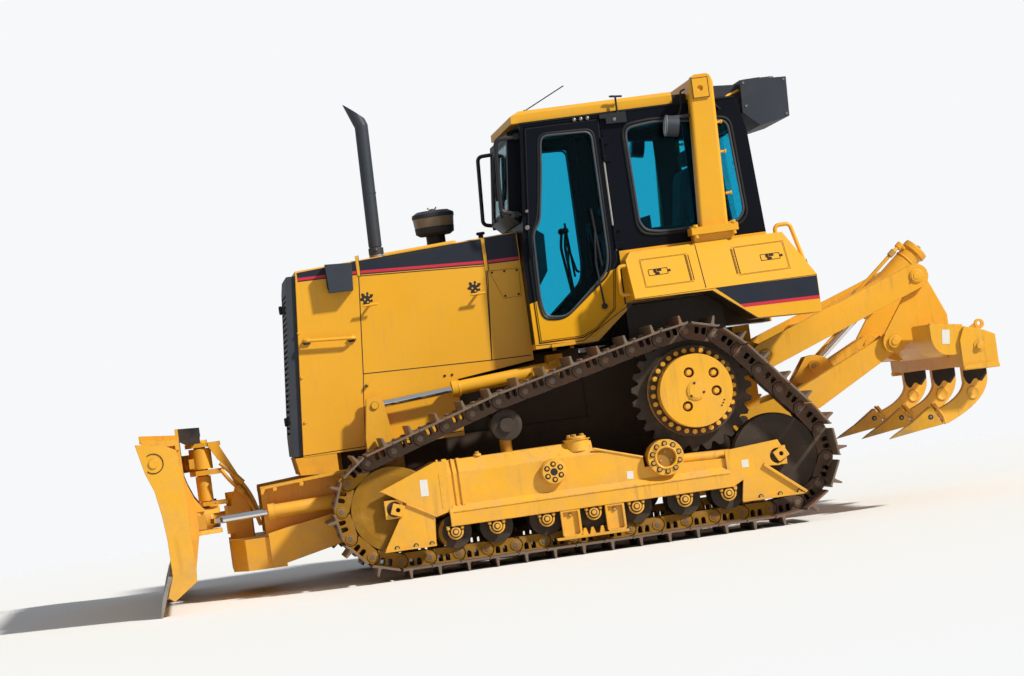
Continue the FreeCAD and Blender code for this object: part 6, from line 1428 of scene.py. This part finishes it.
def cushion(name, corners, thick, seams):
    """A crowned pad between four design points, with sewn channels, pulled in between its corners."""
    a, b, c, d = [Vector(p) for p in corners]
    normal = (b - a).cross(d - a).normalized()
    cols, rows = 28, 28
    points, faces = [], []
    for layer in (1, -1):
        for j in range(rows + 1):
            for i in range(cols + 1):
                u, v = i / cols, j / rows
                edge = 1 - (1 - 4 * u * (1 - u)) * 0.02 - (1 - 4 * v * (1 - v)) * 0.02
                uu, vv = 0.5 + (u - 0.5) * edge, 0.5 + (v - 0.5) * edge
                base = a * (1 - uu) * (1 - vv) + b * uu * (1 - vv) + c * uu * vv + d * (1 - uu) * vv
                crown = (1 - abs(2 * u - 1) ** 5) * (1 - abs(2 * v - 1) ** 5)
                swell = 0.28 + 0.72 * crown ** 0.35
                points.append(base + normal * layer * thick / 2 * swell)
    width = cols + 1
    total = width * (rows + 1)
    for layer in range(2):
        for j in range(rows):
            for i in range(cols):
                p = layer * total + j * width + i
                faces.append([p, p + 1, p + 1 + width, p + width])
    rim = [i for i in range(width)] + [(j + 1) * width - 1 for j in range(1, rows + 1)]
    rim += [rows * width + i for i in range(cols - 1, -1, -1)] + [j * width for j in range(rows - 1, 0, -1)]
    for k in range(len(rim)):
        p, q = rim[k], rim[(k + 1) % len(rim)]
        faces.append([p, q, q + total, p + total])
    piece = Piece()
    piece.add(points, faces, "seat_cloth")
    made = piece.make(name, "chassis", "seat_fabric")
    swollen(made, 0.006, 0.012)
    middle = place(*((a + b + c + d) / 4))
    sewn(made, normal, (d - a) / 1000, seams, middle, thick / 1000)
    subdivide = made.modifiers.new("Soft", "SUBSURF")
    subdivide.levels = subdivide.render_levels = 1
    return made


def seat():
    base = cushion("seat_cushion", ((-270, -240, 1968), (215, -240, 1968), (215, 240, 1968), (-270, 240, 1968)), 116,
                   (0.3, 0.7))
    cushion("seat_back", ((-248, -230, 2030), (-318, -230, 2500), (-318, 230, 2500), (-248, 230, 2030)), 96, ())
    cushion("seat_headrest", ((-322, -130, 2506), (-338, -130, 2612), (-338, 130, 2612), (-322, 130, 2506)), 70, ())
    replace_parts(base, "seat")


# Studio
def studio(looks):
    scene = bpy.context.scene
    scene.view_settings.view_transform = "Standard"
    world = bpy.data.worlds.new("Studio")
    scene.world = world
    world.use_nodes = True
    g = Graph(world.node_tree)
    world.node_tree.nodes.clear()
    path = g.node("ShaderNodeLightPath")
    seen = g.math("MAXIMUM", g.math("MAXIMUM", path.outputs["Is Camera Ray"], path.outputs["Is Transmission Ray"]),
                  g.math("MULTIPLY", path.outputs["Is Glossy Ray"], 0.12))
    lit = g.node("ShaderNodeBackground")
    lit.inputs[0].default_value = (0.86, 0.92, 1.0, 1.0)
    lit.inputs[1].default_value = looks.sky
    shown = g.node("ShaderNodeBackground")
    shown.inputs[0].default_value = (0.93, 0.94, 0.95, 1.0)
    shown.inputs[1].default_value = 1.0
    both = g.node("ShaderNodeMixShader")
    g.set(both.inputs[0], seen)
    g.tree.links.new(lit.outputs[0], both.inputs[1])
    g.tree.links.new(shown.outputs[0], both.inputs[2])
    g.tree.links.new(both.outputs[0], g.node("ShaderNodeOutputWorld").inputs[0])
    # Floor: a pale disc that fades into the backdrop's colour
    floor_look = bpy.data.materials.new("studio_floor")
    floor_look.use_nodes = True
    g = Graph(floor_look.node_tree)
    floor_look.node_tree.nodes.clear()
    coords = g.node("ShaderNodeTexCoord").outputs["Object"]
    far = g.node("ShaderNodeVectorMath", operation="LENGTH")
    g.set(far.inputs[0], coords)
    fade = g.span(far.outputs["Value"], 5.0, 13.0)
    pale = g.node("ShaderNodeBsdfPrincipled")
    pale.inputs["Base Color"].default_value = (0.8, 0.8, 0.79, 1.0)
    pale.inputs["Roughness"].default_value = 0.9
    pale.inputs["Specular IOR Level"].default_value = 0.1
    clear = g.node("ShaderNodeBsdfTransparent")
    mixed = g.node("ShaderNodeMixShader")
    g.set(mixed.inputs[0], fade)
    g.tree.links.new(pale.outputs[0], mixed.inputs[1])
    g.tree.links.new(clear.outputs[0], mixed.inputs[2])
    g.tree.links.new(mixed.outputs[0], g.node("ShaderNodeOutputMaterial").inputs[0])
    bpy.ops.mesh.primitive_circle_add(vertices=96, radius=14.0, fill_type="NGON", location=(0, 0, -0.001))
    floor = bpy.context.object
    floor.name = "studio_floor"
    floor.data.materials.append(floor_look)
    sun = bpy.data.lights.new("key_sun", "SUN")
    sun.energy = looks.sun
    sun.angle = math.radians(4)
    sun.color = (1.0, 0.965, 0.9)
    lamp = bpy.data.objects.new("key_sun", sun)
    scene.collection.objects.link(lamp)
    toward = Vector((-0.95, 0.72, 0.95))
    lamp.rotation_euler = toward.to_track_quat("Z", "Y").to_euler()
    camera = bpy.data.cameras.new("camera")
    camera.sensor_width = 36.0
    camera.lens = 36.0 * 3231.5 / 1024
    camera.clip_end = 200.0
    eye = bpy.data.objects.new("camera", camera)
    scene.collection.objects.link(eye)
    eye.location = place(3338.2, 22219.4, 1125.1)
    eye.rotation_euler = [math.radians(a) for a in (90.92996, 7.85255, 174.22384)]
    scene.camera = eye


# The add-on
class DozerLooks(bpy.types.PropertyGroup):
    """Colours and amounts that a user would change."""
    yellow: bpy.props.FloatVectorProperty(name="Yellow", description="Body paint", subtype="COLOR", size=3, min=0, max=1,
                                          default=(0.8, 0.39, 0.012))
    black: bpy.props.FloatVectorProperty(name="Cab black", description="Cab frame paint", subtype="COLOR", size=3, min=0,
                                         max=1, default=(0.0025, 0.0042, 0.0085))
    band: bpy.props.FloatVectorProperty(name="Band", description="Dark band along hood and fender", subtype="COLOR",
                                        size=3, min=0, max=1, default=(0.012, 0.017, 0.03))
    line: bpy.props.FloatVectorProperty(name="Line", description="Line under the band", subtype="COLOR", size=3, min=0,
                                        max=1, default=(0.56, 0.02, 0.045))
    glass: bpy.props.FloatVectorProperty(name="Glass", description="Window tint", subtype="COLOR", size=3, min=0, max=1,
                                         default=(0.1, 0.58, 0.72))
    dust: bpy.props.FloatProperty(name="Dust", description="How much dust lies on it", default=1.0, min=0, max=2,
                                  subtype="FACTOR")
    wear: bpy.props.FloatProperty(name="Wear", description="How much paint is gone at the edges", default=1.0, min=0,
                                  max=2, subtype="FACTOR")
    sun: bpy.props.FloatProperty(name="Sun", description="Strength of the key light", default=4.5, min=0, max=20)
    sky: bpy.props.FloatProperty(name="Sky", description="Strength of the light from all round", default=0.34, min=0, max=5)


class DOZER_OT_finishes(bpy.types.Operator):
    """Build the finishes and give each solid of the frame its own"""
    bl_idname = "dozer.finishes"
    bl_label = "Finishes"

    def execute(self, context):
        build_finishes(context.scene.dozer_looks)
        for name, look in NODE_LOOKS.items():
            mesh = frame["nodes"][name].data
            if not mesh.materials:
                mesh.materials.append(None)
            for slot in range(len(mesh.materials)):
                mesh.materials[slot] = LOOKS[look]
        return {"FINISHED"}


class DOZER_OT_tracks(bpy.types.Operator):
    """Lay both track chains: shoes, links, pins and bushings"""
    bl_idname = "dozer.tracks"
    bl_label = "Track chains"

    def execute(self, context):
        for name, side in SIDES:
            track_chain(name, side)
        return {"FINISHED"}


class DOZER_OT_running_gear(bpy.types.Operator):
    """Add roller ends, hub bolts, covers, guards and plates to the track frames"""
    bl_idname = "dozer.running_gear"
    bl_label = "Running gear"

    def execute(self, context):
        for name, side in SIDES:
            running_gear(name, side)
        return {"FINISHED"}


class DOZER_OT_hood(bpy.types.Operator):
    """Add bands, seams, latches, caps, stack clamp and precleaner to the hood"""
    bl_idname = "dozer.hood"
    bl_label = "Hood"

    def execute(self, context):
        for name, side in SIDES:
            hood_trim(name, side)
        hood_top()
        return {"FINISHED"}


class DOZER_OT_cab(bpy.types.Operator):
    """Add seals, wipers, handles and steps to the cab and its doors"""
    bl_idname = "dozer.cab"
    bl_label = "Cab"

    def execute(self, context):
        for name, side in SIDES:
            cab_trim(name, side)
            door_trim(name, side)
        windscreen_trim()
        bay_trim()
        return {"FINISHED"}


class DOZER_OT_rear(bpy.types.Operator):
    """Add lids' latches, fender bands, post bolts, lamps and the roof box's trim"""
    bl_idname = "dozer.rear"
    bl_label = "Fenders and roof box"

    def execute(self, context):
        for name, side in SIDES:
            fender_trim(name, side)
            lid_trim(name, side)
        roof_box_trim()
        return {"FINISHED"}


class DOZER_OT_blade(bpy.types.Operator):
    """Add tubes, pins and bolts to the blade, its push frame and its cylinders"""
    bl_idname = "dozer.blade"
    bl_label = "Blade"

    def execute(self, context):
        blade_trim()
        push_frame_trim()
        for name, side in SIDES:
            cylinder_trim(name, side)
        return {"FINISHED"}


class DOZER_OT_ripper(bpy.types.Operator):
    """Add pins, the hydraulic line, the tips and the plates to the ripper"""
    bl_idname = "dozer.ripper"
    bl_label = "Ripper"

    def execute(self, context):
        ripper_trim()
        return {"FINISHED"}


class DOZER_OT_seat(bpy.types.Operator):
    """Sew the seat's cushion, backrest and headrest"""
    bl_idname = "dozer.seat"
    bl_label = "Seat"

    def execute(self, context):
        seat()
        return {"FINISHED"}


class DOZER_OT_stage(bpy.types.Operator):
    """Set up floor, world, sun and camera"""
    bl_idname = "dozer.stage"
    bl_label = "Studio"

    def execute(self, context):
        studio(context.scene.dozer_looks)
        return {"FINISHED"}


OPERATORS = (DOZER_OT_finishes, DOZER_OT_tracks, DOZER_OT_running_gear, DOZER_OT_hood, DOZER_OT_cab, DOZER_OT_rear,
             DOZER_OT_blade, DOZER_OT_ripper, DOZER_OT_seat, DOZER_OT_stage)


class DOZER_PT_panel(bpy.types.Panel):
    """Lists the looks and the steps that dress the machine"""
    bl_idname = "DOZER_PT_panel"
    bl_label = "Bulldozer"
    bl_space_type = "VIEW_3D"
    bl_region_type = "UI"
    bl_category = "Bulldozer"

    def draw(self, context):
        looks = context.scene.dozer_looks
        for name in ("yellow", "black", "band", "line", "glass", "dust", "wear", "sun", "sky"):
            self.layout.prop(looks, name)
        for operator in OPERATORS:
            self.layout.operator(operator.bl_idname)


CLASSES = (DozerLooks,) + OPERATORS + (DOZER_PT_panel,)


def register():
    for cls in CLASSES:
        bpy.utils.register_class(cls)
    bpy.types.Scene.dozer_looks = bpy.props.PointerProperty(type=DozerLooks)


def unregister():
    del bpy.types.Scene.dozer_looks
    for cls in reversed(CLASSES):
        bpy.utils.unregister_class(cls)


def main():
    register()
    for operator in OPERATORS:
        group, name = operator.bl_idname.split(".")
        getattr(getattr(bpy.ops, group), name)()


if __name__ == "__main__":
    main()
